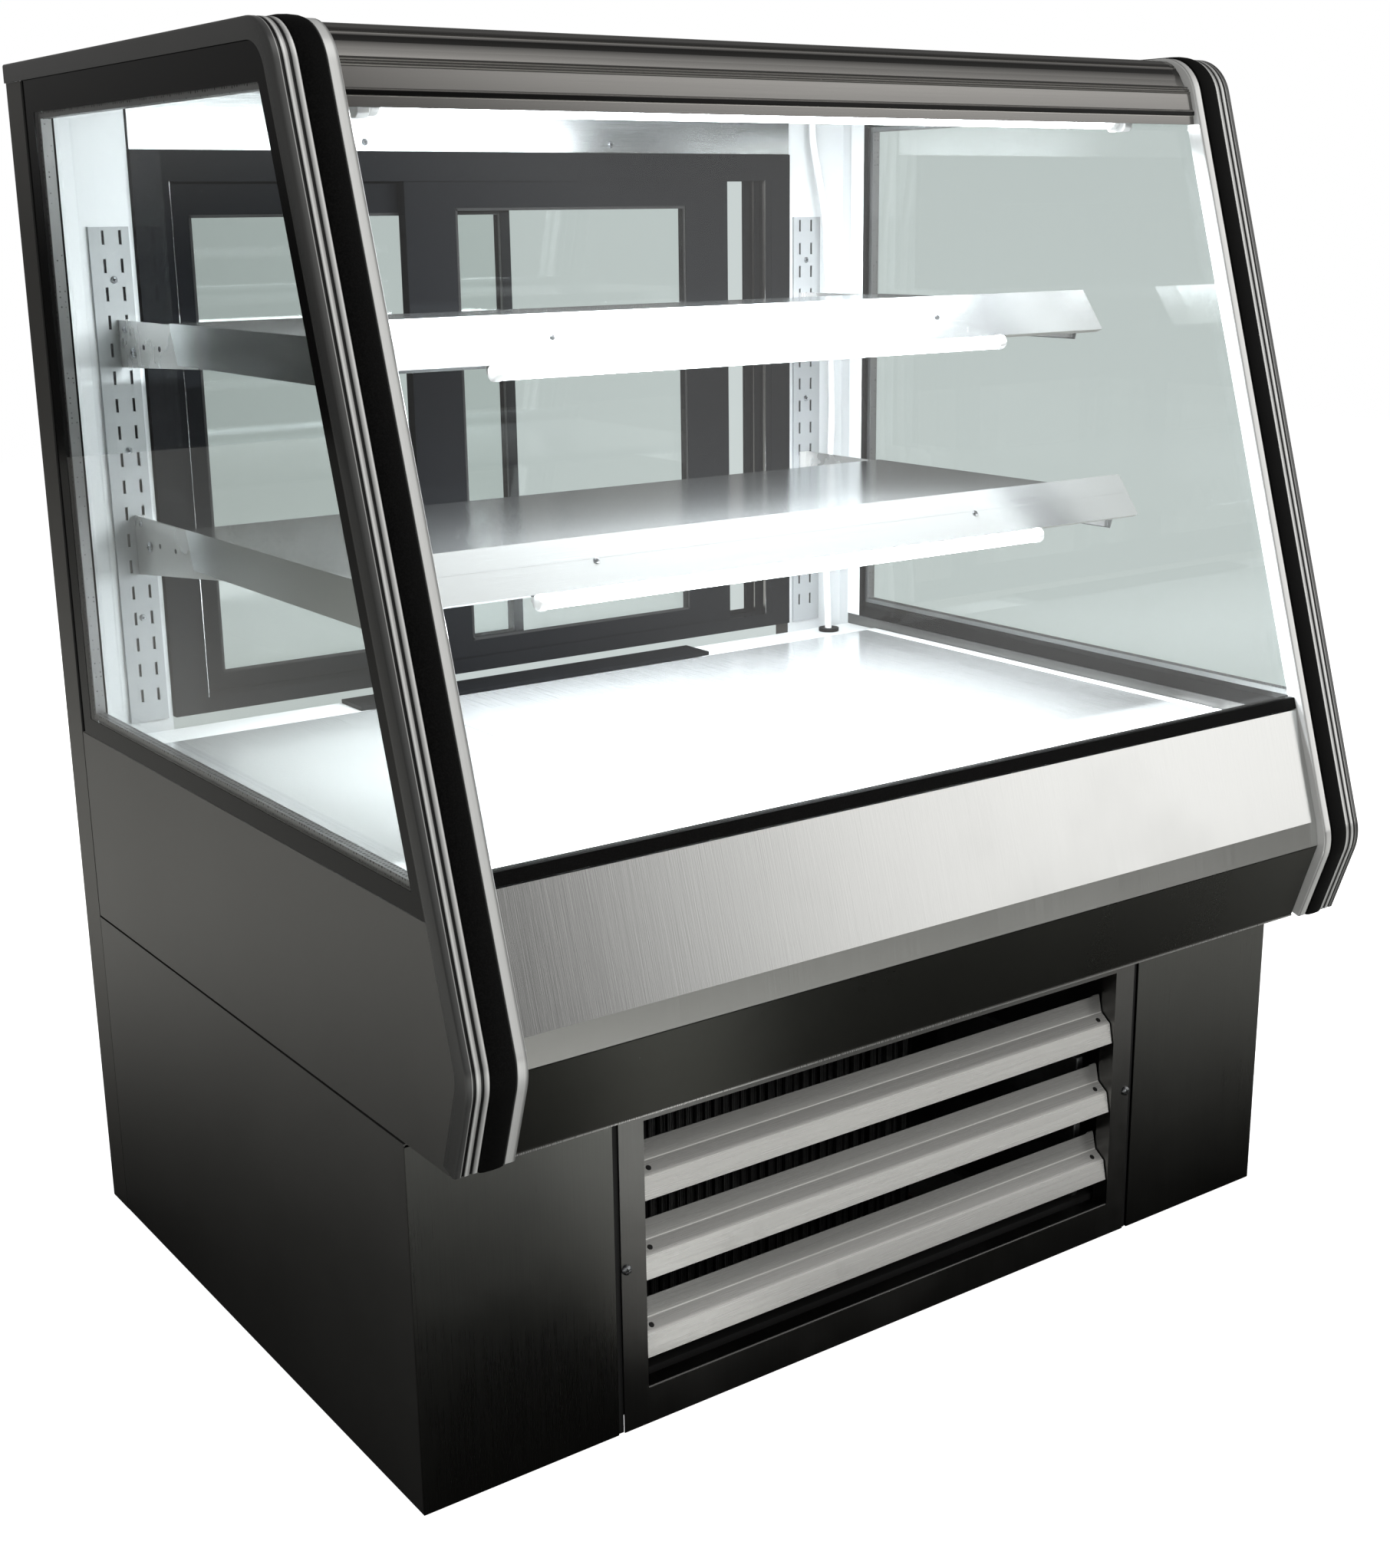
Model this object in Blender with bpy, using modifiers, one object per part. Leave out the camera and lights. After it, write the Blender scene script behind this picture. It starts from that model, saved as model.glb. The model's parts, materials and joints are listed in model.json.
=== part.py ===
"""A slant-front refrigerated deli case.

Metres, +Z up. The operator stands behind the case at +Y, the customer in front at -Y, and +X is the
customer's right. Distances called depth or d are measured forward from the rear plane of the two end
assemblies, so y = BACK - d.
"""
import math

import bmesh
import bpy
from mathutils import Matrix, Vector

# ---- driving dimensions -------------------------------------------------------------------------
HALF_WIDTH = 0.6095        # outer face of the end trims
TRIM_TOP = 1.3945          # top face of the end trims
BASE_DEPTH = 0.850         # front face of the base
BASE_TOP = 0.400           # seam between base and refrigerated body
PANEL_FOOT = 0.001         # base panels stop this far above the floor
GLASS_TOP = 1.3296         # a point of the slanted front plane: height
GLASS_TOP_D = 0.7176       # and its depth
SLANT = 0.3073             # forward run of the front plane for each metre down
NOSE_Z = 0.500             # where the slant turns back under the body
FOOT_OF_NOSE_D = 0.948     # lower end of the end trims
FOOT_OF_NOSE_Z = 0.402
TRIM_PROUD = 0.0084        # trim face in front of the glass plane, along d
TOP_RADIUS = 0.055
NOSE_RADIUS = 0.060
INSERT_PROUD = 0.0025      # bumper insert above the trim face
INNER_X = 0.546            # inner face of the end trims
FILL_X = 0.5455            # half width of everything that spans between the trims
GAP = 0.0003               # least clearance between two pieces
SHEET = 0.0012             # folded stainless sheet
SKIN = 0.0015              # painted panels
LIP_TOP_Z = 0.6535         # top edge of the front fascia
FASCIA_BEND_Z = 0.5256
FASCIA_FOOT = (0.9680, 0.4968)
UNDERSIDE_FOOT = (0.9372, 0.4010)
UNDERSIDE_BACK_D = 0.830   # where its level return ends, over the base
DECK_Z = 0.620
RIM_Z = 0.6085
DECK_X = 0.570
DECK_BACK_D = 0.115
DECK_FRONT_D = 0.765
DECK_SPLIT_X = -0.200
POST_INNER_X = 0.4855
JAMB_D = 0.030
POST_D = 0.0495
SILL_Z = 0.6335            # top of the body end panels, foot of the side glass
GLASS_HEAD_Z = 1.3720      # top of the side glass
ROOF_Z = 1.3758            # underside of the roof panel
FRAME_X = 0.4835
FRAME_FOOT_Z = 0.6290
FRAME_HEAD_Z = 1.3035
FRAME_FRONT_D = 0.036
DOOR_LIP = 0.006
DOOR_THICKNESS = 0.018
DOOR_PLAY = 0.0012
TRACK_FIN = 0.0032
DOOR_WIDTH = 0.506
DOOR_REACH_X = 0.468       # closed doors run this far into the jambs
DOOR_FOOT_Z = 0.6415
DOOR_HEAD_Z = 1.2780
RIGHT_DOOR_OPEN = 0.090    # the right door stands open by this much
STANDARD_INNER_X = 0.4925
STANDARD_OUTER_X = 0.5405
STANDARD_FOOT_Z = 0.6295
STANDARD_HEAD_Z = 1.2180
STANDARD_FACE_D = 0.0345
SLOT_COLUMNS = (0.5035, 0.5240)
SLOT_PITCH = 0.032
SLOT_HEIGHT = 0.016
SLOT_WIDTH = 0.0034
SLOT_ROWS = 18
FIRST_SLOT_TOP = 1.2140
SHELF_X = 0.5167
LIP_X = 0.522
LAMP_RADIUS = 0.0075
LAMP_AHEAD = 0.0390        # shelf lamp axis in front of the top edge of the lip
LAMP_BELOW = 0.0545        # and under it
CANOPY_LAMP = (0.6480, 1.3280)       # depth and height of its axis
CABLE_DIAMETER = 0.010
LEAD_HOLE = (0.524, 0.080)           # x and depth of the hole that the lamp cable goes down
BRACKET_X = (0.5125, 0.5150)
SHELVES = {                # plate top z, lip top d, lip top z, bracket heel z, slot rows of the brackets
    "upper": (1.1145, 0.5770, 1.1280, 1.0580, (3, 4)),
    "lower": (0.8855, 0.6500, 0.9065, 0.8120, (11, 12)),
}


def slant_d(z, off=0.0):
    """Depth of the slanted front plane at height z, moved out of the plane by off."""
    return GLASS_TOP_D + (GLASS_TOP - z) * SLANT + off * math.hypot(1, SLANT)


def rounded(points, radii, steps=6):
    """A polyline whose inner corners are replaced with tangent arcs."""
    out = [Vector(points[0])]
    for before, corner, after, radius in zip(points, points[1:], points[2:], radii):
        before, corner, after = Vector(before), Vector(corner), Vector(after)
        u, v = (before - corner).normalized(), (after - corner).normalized()
        half = u.angle(v) / 2
        start = corner + u * radius / math.tan(half)
        end = corner + v * radius / math.tan(half)
        centre = corner + (u + v).normalized() * radius / math.sin(half)
        a, b = start - centre, end - centre
        turn = a.angle_signed(b)
        for i in range(steps + 1):
            angle = -turn * i / steps
            spun = Vector((a.x * math.cos(angle) - a.y * math.sin(angle),
                           a.x * math.sin(angle) + a.y * math.cos(angle)))
            out.append(centre + spun)
    out.append(Vector(points[-1]))
    return out


NOSE_D = slant_d(NOSE_Z) + TRIM_PROUD
TRIM_CORNER = (slant_d(TRIM_TOP) + TRIM_PROUD, TRIM_TOP)
TRIM_PATH = rounded(
    [(0.0, TRIM_TOP), TRIM_CORNER, (NOSE_D, NOSE_Z), (FOOT_OF_NOSE_D, FOOT_OF_NOSE_Z)],
    (TOP_RADIUS, NOSE_RADIUS),
)
FRAME_BACK_D = FRAME_FRONT_D - 2 * DOOR_LIP - 2 * (DOOR_THICKNESS + 2 * DOOR_PLAY) - TRACK_FIN
FRONT_D = max(point.x for point in TRIM_PATH) + INSERT_PROUD
BACK = (FRONT_D + FRAME_BACK_D) / 2

# ---- scene, collections, materials --------------------------------------------------------------
for old in list(bpy.data.objects):
    bpy.data.objects.remove(old, do_unlink=True)
PARTS = bpy.data.collections.new("refrigerated_deli_case")
CUTTERS = bpy.data.collections.new("cutters")
bpy.context.scene.collection.children.link(PARTS)
bpy.context.scene.collection.children.link(CUTTERS)
CUTTERS.hide_render = True

FINISHES = {               # base colour, roughness, metallic
    "graphite_panel": ((0.075, 0.073, 0.070), 0.42, 0.6),
    "stainless": ((0.62, 0.61, 0.59), 0.30, 1.0),
    "louver_steel": ((0.68, 0.66, 0.62), 0.34, 1.0),
    "anodised_aluminium": ((0.55, 0.54, 0.51), 0.28, 1.0),
    "rail_aluminium": ((0.30, 0.285, 0.26), 0.32, 1.0),
    "black_vinyl": ((0.012, 0.012, 0.013), 0.55, 0.0),
    "black_frame": ((0.030, 0.032, 0.036), 0.35, 0.0),
    "white_liner": ((0.86, 0.87, 0.86), 0.45, 0.0),
    "foam_body": ((0.86, 0.87, 0.86), 0.45, 0.0),
    "clear_glass": ((0.90, 0.96, 0.94), 0.02, 0.0),
    "lamp_tube": ((0.95, 0.97, 1.0), 0.35, 0.0),
    "white_cable": ((0.85, 0.85, 0.84), 0.50, 0.0),
    "steel_frame": ((0.06, 0.06, 0.06), 0.55, 0.3),
    "coil_fins": ((0.60, 0.60, 0.60), 0.40, 1.0),
    "fan_blade": ((0.35, 0.35, 0.34), 0.45, 1.0),
    "compressor_black": ((0.02, 0.02, 0.02), 0.40, 0.2),
    "galvanised": ((0.50, 0.51, 0.52), 0.45, 1.0),
    "control_plastic": ((0.03, 0.03, 0.03), 0.50, 0.0),
    "switch_red": ((0.35, 0.02, 0.015), 0.35, 0.0),
}


def finish(obj, slot):
    mat = bpy.data.materials.get(slot)
    if mat is None:
        colour, roughness, metallic = FINISHES[slot]
        mat = bpy.data.materials.new(slot)
        mat.use_nodes = True
        shader = mat.node_tree.nodes["Principled BSDF"]
        shader.inputs["Base Color"].default_value = (*colour, 1.0)
        shader.inputs["Roughness"].default_value = roughness
        shader.inputs["Metallic"].default_value = metallic
    obj.data.materials.clear()
    obj.data.materials.append(mat)


# ---- tools that make one closed body each -------------------------------------------------------
def add(name, mesh, slot, where=None):
    obj = bpy.data.objects.new(name, mesh)
    (where or PARTS).objects.link(obj)
    if slot:
        finish(obj, slot)
    return obj


def box(name, x, d, z, slot=None, bevel=0.0, where=None):
    """A box from spans of x, depth and height, with its origin at its centre."""
    size = Vector((x[1] - x[0], d[1] - d[0], z[1] - z[0]))
    mesh = bpy.data.meshes.new(name)
    cage = bmesh.new()
    bmesh.ops.create_cube(cage, size=1.0, matrix=Matrix.Diagonal((*size, 1.0)))
    cage.to_mesh(mesh)
    cage.free()
    obj = add(name, mesh, slot, where)
    obj.location = (sum(x) / 2, BACK - sum(d) / 2, sum(z) / 2)
    if bevel:
        edge = obj.modifiers.new("edges", "BEVEL")
        edge.width = bevel
        edge.segments = 2
    return obj


def cylinder(name, radius, length, centre, axis, slot=None, sides=24, where=None):
    """A cylinder with its origin at its centre, along X, Y or Z. centre is x, depth, height."""
    mesh = bpy.data.meshes.new(name)
    cage = bmesh.new()
    bmesh.ops.create_cone(cage, cap_ends=True, segments=sides, radius1=radius, radius2=radius, depth=length)
    cage.to_mesh(mesh)
    cage.free()
    obj = add(name, mesh, slot, where)
    obj.location = (centre[0], BACK - centre[1], centre[2])
    obj.rotation_euler = {"X": (0, math.pi / 2, 0), "Y": (math.pi / 2, 0, 0), "Z": (0, 0, 0)}[axis]
    return obj


def outline_mesh(name, points, width):
    """A flat outline extruded both ways by half of width, as a welded mesh in its own XY plane."""
    curve = bpy.data.curves.new(name, "CURVE")
    curve.dimensions = "2D"
    curve.fill_mode = "BOTH"
    curve.extrude = width / 2
    spline = curve.splines.new("POLY")
    spline.points.add(len(points) - 1)
    for point, (a, b) in zip(spline.points, points):
        point.co = (a, b, 0.0, 1.0)
    spline.use_cyclic_u = True
    holder = bpy.data.objects.new(name + "_outline", curve)
    CUTTERS.objects.link(holder)
    bpy.context.view_layer.update()
    graph = bpy.context.evaluated_depsgraph_get()
    mesh = bpy.data.meshes.new_from_object(holder.evaluated_get(graph))
    bpy.data.objects.remove(holder, do_unlink=True)
    cage = bmesh.new()
    cage.from_mesh(mesh)
    bmesh.ops.remove_doubles(cage, verts=cage.verts, dist=1e-6)
    bmesh.ops.recalc_face_normals(cage, faces=cage.faces)
    cage.to_mesh(mesh)
    cage.free()
    return mesh


def across(name, points, x, slot=None, where=None):
    """Extrudes an outline of (depth, height) points over a span of x."""
    obj = add(name, outline_mesh(name, points, x[1] - x[0]), slot, where)
    obj.location = (sum(x) / 2, BACK, 0.0)
    obj.rotation_euler = (math.pi / 2, 0.0, -math.pi / 2)
    return obj


def upright(name, points, z, slot=None, where=None):
    """Extrudes an outline of (x, depth) points over a span of height."""
    obj = add(name, outline_mesh(name, [(x, -d) for x, d in points], z[1] - z[0]), slot, where)
    obj.location = (0.0, BACK, sum(z) / 2)
    return obj


def lengthwise(name, points, d, slot=None, where=None):
    """Extrudes an outline of (x, height) points over a span of depth."""
    obj = add(name, outline_mesh(name, points, d[1] - d[0]), slot, where)
    obj.location = (0.0, BACK - sum(d) / 2, 0.0)
    obj.rotation_euler = (math.pi / 2, 0.0, 0.0)
    return obj


def folded(path, thickness):
    """The closed outline of a sheet folded along path. Material lies to the left of the way of travel."""
    path = [Vector(p) for p in path]
    inner = []
    for i, point in enumerate(path):
        legs = []
        if i:
            legs.append((point - path[i - 1]).normalized())
        if i < len(path) - 1:
            legs.append((path[i + 1] - point).normalized())
        normals = [Vector((-leg.y, leg.x)) for leg in legs]
        mitre = sum(normals, Vector((0.0, 0.0))).normalized()
        inner.append(point + mitre * thickness / mitre.dot(normals[0]))
    return [tuple(p) for p in path] + [tuple(p) for p in reversed(inner)]


def boolean(obj, other, operation):
    """Applies one Boolean and removes the other object."""
    bpy.context.view_layer.update()
    step = obj.modifiers.new(operation.lower(), "BOOLEAN")
    step.operation = operation
    step.object = other
    graph = bpy.context.evaluated_depsgraph_get()
    mesh = bpy.data.meshes.new_from_object(obj.evaluated_get(graph))
    obj.modifiers.clear()
    obj.data = mesh
    bpy.data.objects.remove(other, do_unlink=True)
    return obj


def cut(obj, *cutters):
    for cutter in cutters:
        boolean(obj, cutter, "DIFFERENCE")
    return obj


def join(obj, *others):
    for other in others:
        boolean(obj, other, "UNION")
    return obj


def cutter_box(x, d, z):
    return box("cutter", x, d, z, where=CUTTERS)


def many_boxes(spans):
    """One cutter mesh that holds several separate boxes, each a span of x, depth and height."""
    mesh = bpy.data.meshes.new("cutter")
    cage = bmesh.new()
    for x, d, z in spans:
        size = (x[1] - x[0], d[1] - d[0], z[1] - z[0])
        centre = (sum(x) / 2, BACK - sum(d) / 2, sum(z) / 2)
        bmesh.ops.create_cube(cage, size=1.0,
                              matrix=Matrix.Translation(centre) @ Matrix.Diagonal((*size, 1.0)))
    cage.to_mesh(mesh)
    cage.free()
    return add("cutter", mesh, None, CUTTERS)


def mirrored(obj, name):
    """The same piece for the other end of the case."""
    twin = obj.copy()
    twin.data = obj.data.copy()
    twin.name = name
    twin.location.x = -obj.location.x
    twin.data.transform(obj.matrix_basis.to_3x3().to_4x4())
    twin.data.transform(Matrix.Diagonal((-1.0, 1.0, 1.0, 1.0)))
    twin.data.flip_normals()
    twin.rotation_euler = (0.0, 0.0, 0.0)
    PARTS.objects.link(twin)
    return twin


def sweep(name, path, section, slot):
    """Carries a section of (x, offset out of the path) points along a path of (depth, height) points."""
    mesh = bpy.data.meshes.new(name)
    cage = bmesh.new()
    rings = []
    for i, point in enumerate(path):
        legs = []
        if i:
            legs.append((point - path[i - 1]).normalized())
        if i < len(path) - 1:
            legs.append((path[i + 1] - point).normalized())
        normals = [Vector((-leg.y, leg.x)) for leg in legs]
        mitre = sum(normals, Vector((0.0, 0.0))).normalized()
        mitre /= mitre.dot(normals[0])
        rings.append([cage.verts.new((x, -(point.x + mitre.x * off), point.y + mitre.y * off))
                      for x, off in section])
    for ring, following in zip(rings, rings[1:]):
        for i in range(len(section)):
            j = (i + 1) % len(section)
            cage.faces.new((ring[i], ring[j], following[j], following[i]))
    cage.faces.new(rings[0])
    cage.faces.new(reversed(rings[-1]))
    bmesh.ops.recalc_face_normals(cage, faces=cage.faces)
    cage.to_mesh(mesh)
    cage.free()
    obj = add(name, mesh, slot)
    obj.location.y = BACK
    return obj


def turned(name, profile, centre, slot, steps=24, where=None):
    """A profile of (radius, height) points, top to bottom, turned about a vertical axis."""
    mesh = bpy.data.meshes.new(name)
    cage = bmesh.new()
    verts = [cage.verts.new((r, 0.0, z)) for r, z in profile]
    for a, b in zip(verts, verts[1:]):
        cage.edges.new((a, b))
    cage.to_mesh(mesh)
    cage.free()
    obj = add(name, mesh, slot, where)
    obj.location = (centre[0], BACK - centre[1], centre[2])
    spin = obj.modifiers.new("turn", "SCREW")
    spin.steps = steps
    spin.render_steps = steps
    spin.use_merge_vertices = True
    spin.merge_threshold = 0.0001
    spin.use_smooth_shade = True
    return obj


# ---- base ---------------------------------------------------------------------------------------
def base_frame():
    x, front, back, top = 0.586, 0.820, 0.052, 0.4050
    post = 0.028
    tray = box("base_frame", (-x, x), (back, front), (0.0, 0.045), "steel_frame")
    cut(tray, cutter_box((-x + post, x - post), (back + post, front - post), (0.004, 0.1)))
    uprights = [(sx, sd) for sx in (-1, 1) for sd in (back, front - post)]
    for side, d in uprights:
        span = sorted((side * x, side * (x - post)))
        join(tray, box("post", span, (d, d + post), (0.010, top), where=CUTTERS))
    for side in (-1, 1):
        span = sorted((side * x, side * (x - post)))
        join(tray, box("rail", span, (back + 0.010, front - 0.010), (top - 0.030, top), where=CUTTERS))
    for d in (back, front - post):
        join(tray, box("rail", (-x + 0.010, x - 0.010), (d, d + post), (top - 0.030, top), where=CUTTERS))


def base_panels():
    outer, flange = 0.6075, 0.0150
    path = [(-outer + flange, PANEL_FOOT), (-outer, PANEL_FOOT), (-outer, 0.3975),
            (-outer + flange, 0.3975)]
    side = lengthwise("base_side_panel_left", folded(path[::-1], SKIN), (0.0505, 0.8482), "graphite_panel")
    mirrored(side, "base_side_panel_right")
    plan = [(-outer, BASE_DEPTH), (-0.3790, BASE_DEPTH), (-0.3790, BASE_DEPTH - flange)]
    front = upright("base_front_panel_left", folded(plan, -SKIN), (PANEL_FOOT, 0.3945), "graphite_panel")
    mirrored(front, "base_front_panel_right")


def grille():
    face = (BASE_DEPTH - SKIN, BASE_DEPTH)
    foot, head = 0.0425, 0.3470
    frame = box("grille_frame", (-0.3715, 0.3715), face, (PANEL_FOOT, 0.3945), "stainless")
    join(frame, box("lips", (-0.3425, 0.3425), (0.8280, BASE_DEPTH - 0.0005), (foot - SKIN, head + SKIN),
                    where=CUTTERS))
    cut(frame, cutter_box((-0.3410, 0.3410), (0.8, 0.9), (foot, head)))
    for number in range(3):
        z = 0.2570 - number * 0.0901
        f = BASE_DEPTH
        path = [(f - 0.0015, z), (f - 0.0065, z + 0.0240), (f - 0.0205, z + 0.0340),
                (f - 0.0255, z + 0.0550)]
        across(f"grille_louver_{number + 1}", folded(path, SHEET), (-0.3395, 0.3395), "louver_steel")
    for side, x in (("left", -0.3652), ("right", 0.3652)):
        screw = cylinder(f"grille_screw_{side}", 0.0058, 0.0030, (x, BASE_DEPTH + GAP + 0.0015, 0.1885),
                         "Y", "galvanised", 12)
        edge = screw.modifiers.new("crown", "BEVEL")
        edge.width = 0.0012
        edge.segments = 1


CONTROL_X = (-0.4300, -0.3100)
CONTROL_Z = (0.2900, 0.3500)
VENT_ROWS = 9


def base_rear():
    panel = box("base_rear_panel", (-0.4845, 0.4845), (0.0, SKIN), (PANEL_FOOT, 0.3950), "graphite_panel")
    vents = []
    for row in range(VENT_ROWS):
        z = 0.080 + row * 0.026
        vents += [(span, (-0.1, 0.1), (z, z + 0.010)) for span in ((-0.22, 0.02), (0.08, 0.40))]
    cut(panel, many_boxes(vents))
    margin = 0.001
    hole_x = (CONTROL_X[0] - margin, CONTROL_X[1] + margin)
    hole_z = (CONTROL_Z[0] - margin, CONTROL_Z[1] + margin)
    cut(panel, cutter_box(hole_x, (-0.1, 0.1), hole_z))
    control = box("control_box", CONTROL_X, (0.0010, 0.0480), CONTROL_Z, "control_plastic")
    switch_x = CONTROL_X[1] - 0.030
    cut(control, cutter_box((switch_x - 0.0090, switch_x + 0.0090), (-0.01, 0.0080), (0.3065, 0.3335)))
    knob = turned("thermostat_knob", [(0.0, 0.0130), (0.0105, 0.0130), (0.0125, 0.0115), (0.0140, 0.0),
                                      (0.0, 0.0)],
                  (0, 0, 0), "control_plastic", 20)
    knob.location = (CONTROL_X[0] + 0.032, BACK - 0.0007, 0.320)
    knob.rotation_euler = (-math.pi / 2, 0.0, 0.0)
    rocker = [(-0.0110, 0.0), (-0.0110, 0.0060), (-0.0010, 0.0034), (0.0110, 0.0024), (0.0110, 0.0)]
    switch = add("light_switch", outline_mesh("light_switch", rocker, 0.0150), "switch_red")
    switch.location = (switch_x, BACK - 0.0015, 0.320)
    switch.data.transform(Matrix(((0, 0, 1), (0, 1, 0), (1, 0, 0))).to_4x4())
    switch.data.flip_normals()
    gland = cylinder("power_cord_gland", 0.0150, 0.0120, (0.4400, -0.0063, 0.0480), "Y", "control_plastic",
                     20)
    cut(gland, cylinder("bore", 0.0050, 0.05, (0.4400, -0.0063, 0.0480), "Y", sides=16, where=CUTTERS))


def rotor(name, radius, hub, depth, blades, centre, slot):
    """An axial fan rotor on a Y axis: a hub and pitched blades, one body, with its origin on the axis."""
    body = cylinder(name, hub, depth, (0, 0, 0), "Y", slot, 20)
    body.location = (0, 0, 0)
    for i in range(blades):
        blade = box("blade", (-0.5, 0.5), (-0.5, 0.5), (-0.5, 0.5), where=CUTTERS)
        blade.location = (0, 0, 0)
        reach = radius - hub * 0.6
        shape = (Matrix.Rotation(math.tau * i / blades, 4, "Y")
                 @ Matrix.Translation((0, 0, hub * 0.6 + reach / 2))
                 @ Matrix.Rotation(math.radians(28), 4, "Z")
                 @ Matrix.Diagonal((radius * 0.62, 0.0025, reach, 1.0)))
        blade.data.transform(shape)
        join(body, blade)
    body.location = (centre[0], BACK - centre[1], centre[2])
    return body


FAN_CENTRE = (-0.120, 0.6000, 0.185)


def condensing_unit():
    profile = [(0.0, 0.205), (0.035, 0.202), (0.066, 0.188), (0.082, 0.165), (0.085, 0.110), (0.088, 0.105),
               (0.088, 0.095), (0.085, 0.090), (0.082, 0.040), (0.066, 0.016), (0.035, 0.004), (0.0, 0.0)]
    turned("compressor", profile, (0.235, 0.480, 0.012), "compressor_black", 24)
    coil = box("condenser_coil", (-0.300, 0.100), (0.690, 0.750), (0.008, 0.345), "coil_fins")
    fins = [((-0.3 + 0.012 + i * 0.0245, -0.3 + 0.022 + i * 0.0245), (0.744, 0.8), (0.020, 0.333))
            for i in range(16)]
    cut(coil, many_boxes(fins))
    x, d, z = FAN_CENTRE
    shroud = box("fan_shroud", (-0.300, 0.100), (0.560, 0.6850), (0.0045, 0.345), "galvanised")
    cut(shroud, cutter_box((-0.297, 0.097), (0.5635, 0.7), (0.0075, 0.342)))
    cut(shroud, cylinder("mouth", 0.148, 0.1, (x, 0.56, z), "Y", sides=32, where=CUTTERS))
    join(shroud, box("strap", (x - 0.160, x + 0.160), (0.5400, 0.5635), (z - 0.012, z + 0.012),
                     where=CUTTERS))
    join(shroud, cylinder("motor", 0.038, 0.070, (x, 0.5450, z), "Y", sides=20, where=CUTTERS))
    rotor("condenser_fan", 0.138, 0.030, 0.022, 5, (x, 0.6050, z), "fan_blade")


# ---- refrigerated body --------------------------------------------------------------------------
def tub():
    inward = -0.014
    outline = [(0.0510, 0.4055), (0.8850, 0.4055), (0.9440, 0.4880), (slant_d(0.6480, inward), 0.6480),
               (slant_d(0.6480, inward) - 0.012, 0.6480), (DECK_FRONT_D + 0.008, RIM_Z + 0.0030),
               (DECK_FRONT_D + 0.008, RIM_Z), (DECK_BACK_D - 0.003, RIM_Z),
               (DECK_BACK_D - 0.003, 0.6185), (0.0510, 0.6185)]
    body = across("body_tub", outline, (-0.586, 0.586), "foam_body")
    well_x = (-0.545, 0.545)
    cut(body, cutter_box(well_x, (0.150, 0.735), (0.450, 0.80)))
    cut(body, cutter_box(well_x, (0.090, 0.875), (0.4505, 0.575)))
    cut(body, cutter_box((-0.255, 0.268), (0.062, 0.160), (0.520, 0.80)))
    cut(body, cylinder("lead_hole", 0.009, 0.1, (*LEAD_HOLE, 0.60), "Z", sides=16, where=CUTTERS))


def end_panels():
    x = (-0.6072, -0.5868)
    inset = -0.002
    foot = (FOOT_OF_NOSE_D - 0.0120, BASE_TOP)
    nose = (slant_d(0.4985, inset) - 0.0030, 0.4985)
    panel = across("body_side_panel_left",
                   [(0.0505, BASE_TOP), foot, nose, (slant_d(SILL_Z - 0.0004, inset), SILL_Z - 0.0004),
                    (0.0505, SILL_Z - 0.0004)],
                   x, "graphite_panel")
    mirrored(panel, "body_side_panel_right")
    corner = 0.030
    top_d = slant_d(GLASS_HEAD_Z, inset)
    pane = rounded([(0.0505, SILL_Z), (0.0505, GLASS_HEAD_Z), (top_d, GLASS_HEAD_Z),
                    (slant_d(SILL_Z, inset), SILL_Z)],
                   (0.002, corner), 4)
    glass = across("side_glass_left", [tuple(p) for p in pane], (-0.6069, -0.5869), "clear_glass")
    mirrored(glass, "side_glass_right")


def end_trims():
    outer = HALF_WIDTH
    rib = 0.0010
    section = [(-outer, -0.0200), (-outer, -0.0015), (-outer + 0.0015, 0.0), (-0.6020, 0.0),
               (-0.6015, -rib), (-0.5995, -rib), (-0.5990, 0.0), (-0.5940, 0.0), (-0.5935, -rib),
               (-0.5915, -rib), (-0.5910, 0.0), (-0.5860, 0.0), (-0.5850, -0.0010), (-0.5850, -0.0060),
               (-0.5585, -0.0060), (-0.5585, -0.0010), (-0.5575, 0.0), (-0.5470, 0.0),
               (-INNER_X, -0.0010), (-INNER_X, -0.0180), (-0.5480, -0.0180), (-0.5480, -0.0085),
               (-0.6077, -0.0085), (-0.6077, -0.0200)]
    trim = sweep("end_trim_left", TRIM_PATH, section, "anodised_aluminium")
    mirrored(trim, "end_trim_right")
    crown = INSERT_PROUD
    insert_section = [(-0.5847, -0.0057), (-0.5847, 0.0), (-0.5820, crown * 0.8), (-0.5717, crown),
                      (-0.5615, crown * 0.8), (-0.5588, 0.0), (-0.5588, -0.0057)]
    insert = sweep("trim_insert_left", TRIM_PATH, insert_section, "black_vinyl")
    mirrored(insert, "trim_insert_right")


def rear_posts():
    plan = [(-0.6075, 0.0), (-POST_INNER_X, 0.0), (-POST_INNER_X, JAMB_D), (-0.5865, JAMB_D),
            (-0.5865, POST_D), (-0.6075, POST_D)]
    head = ROOF_Z - 0.0013
    post = upright("rear_post_left", plan, (0.0005, head), "graphite_panel")
    inside_z = (-0.1, head - SKIN)
    cut(post, cutter_box((-0.6075 + SKIN, -POST_INNER_X - SKIN), (SKIN, JAMB_D - SKIN), inside_z))
    cut(post, cutter_box((-0.6075 + SKIN, -0.5865 - SKIN), (JAMB_D - 2 * SKIN, POST_D - SKIN), inside_z))
    mirrored(post, "rear_post_right")


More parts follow.
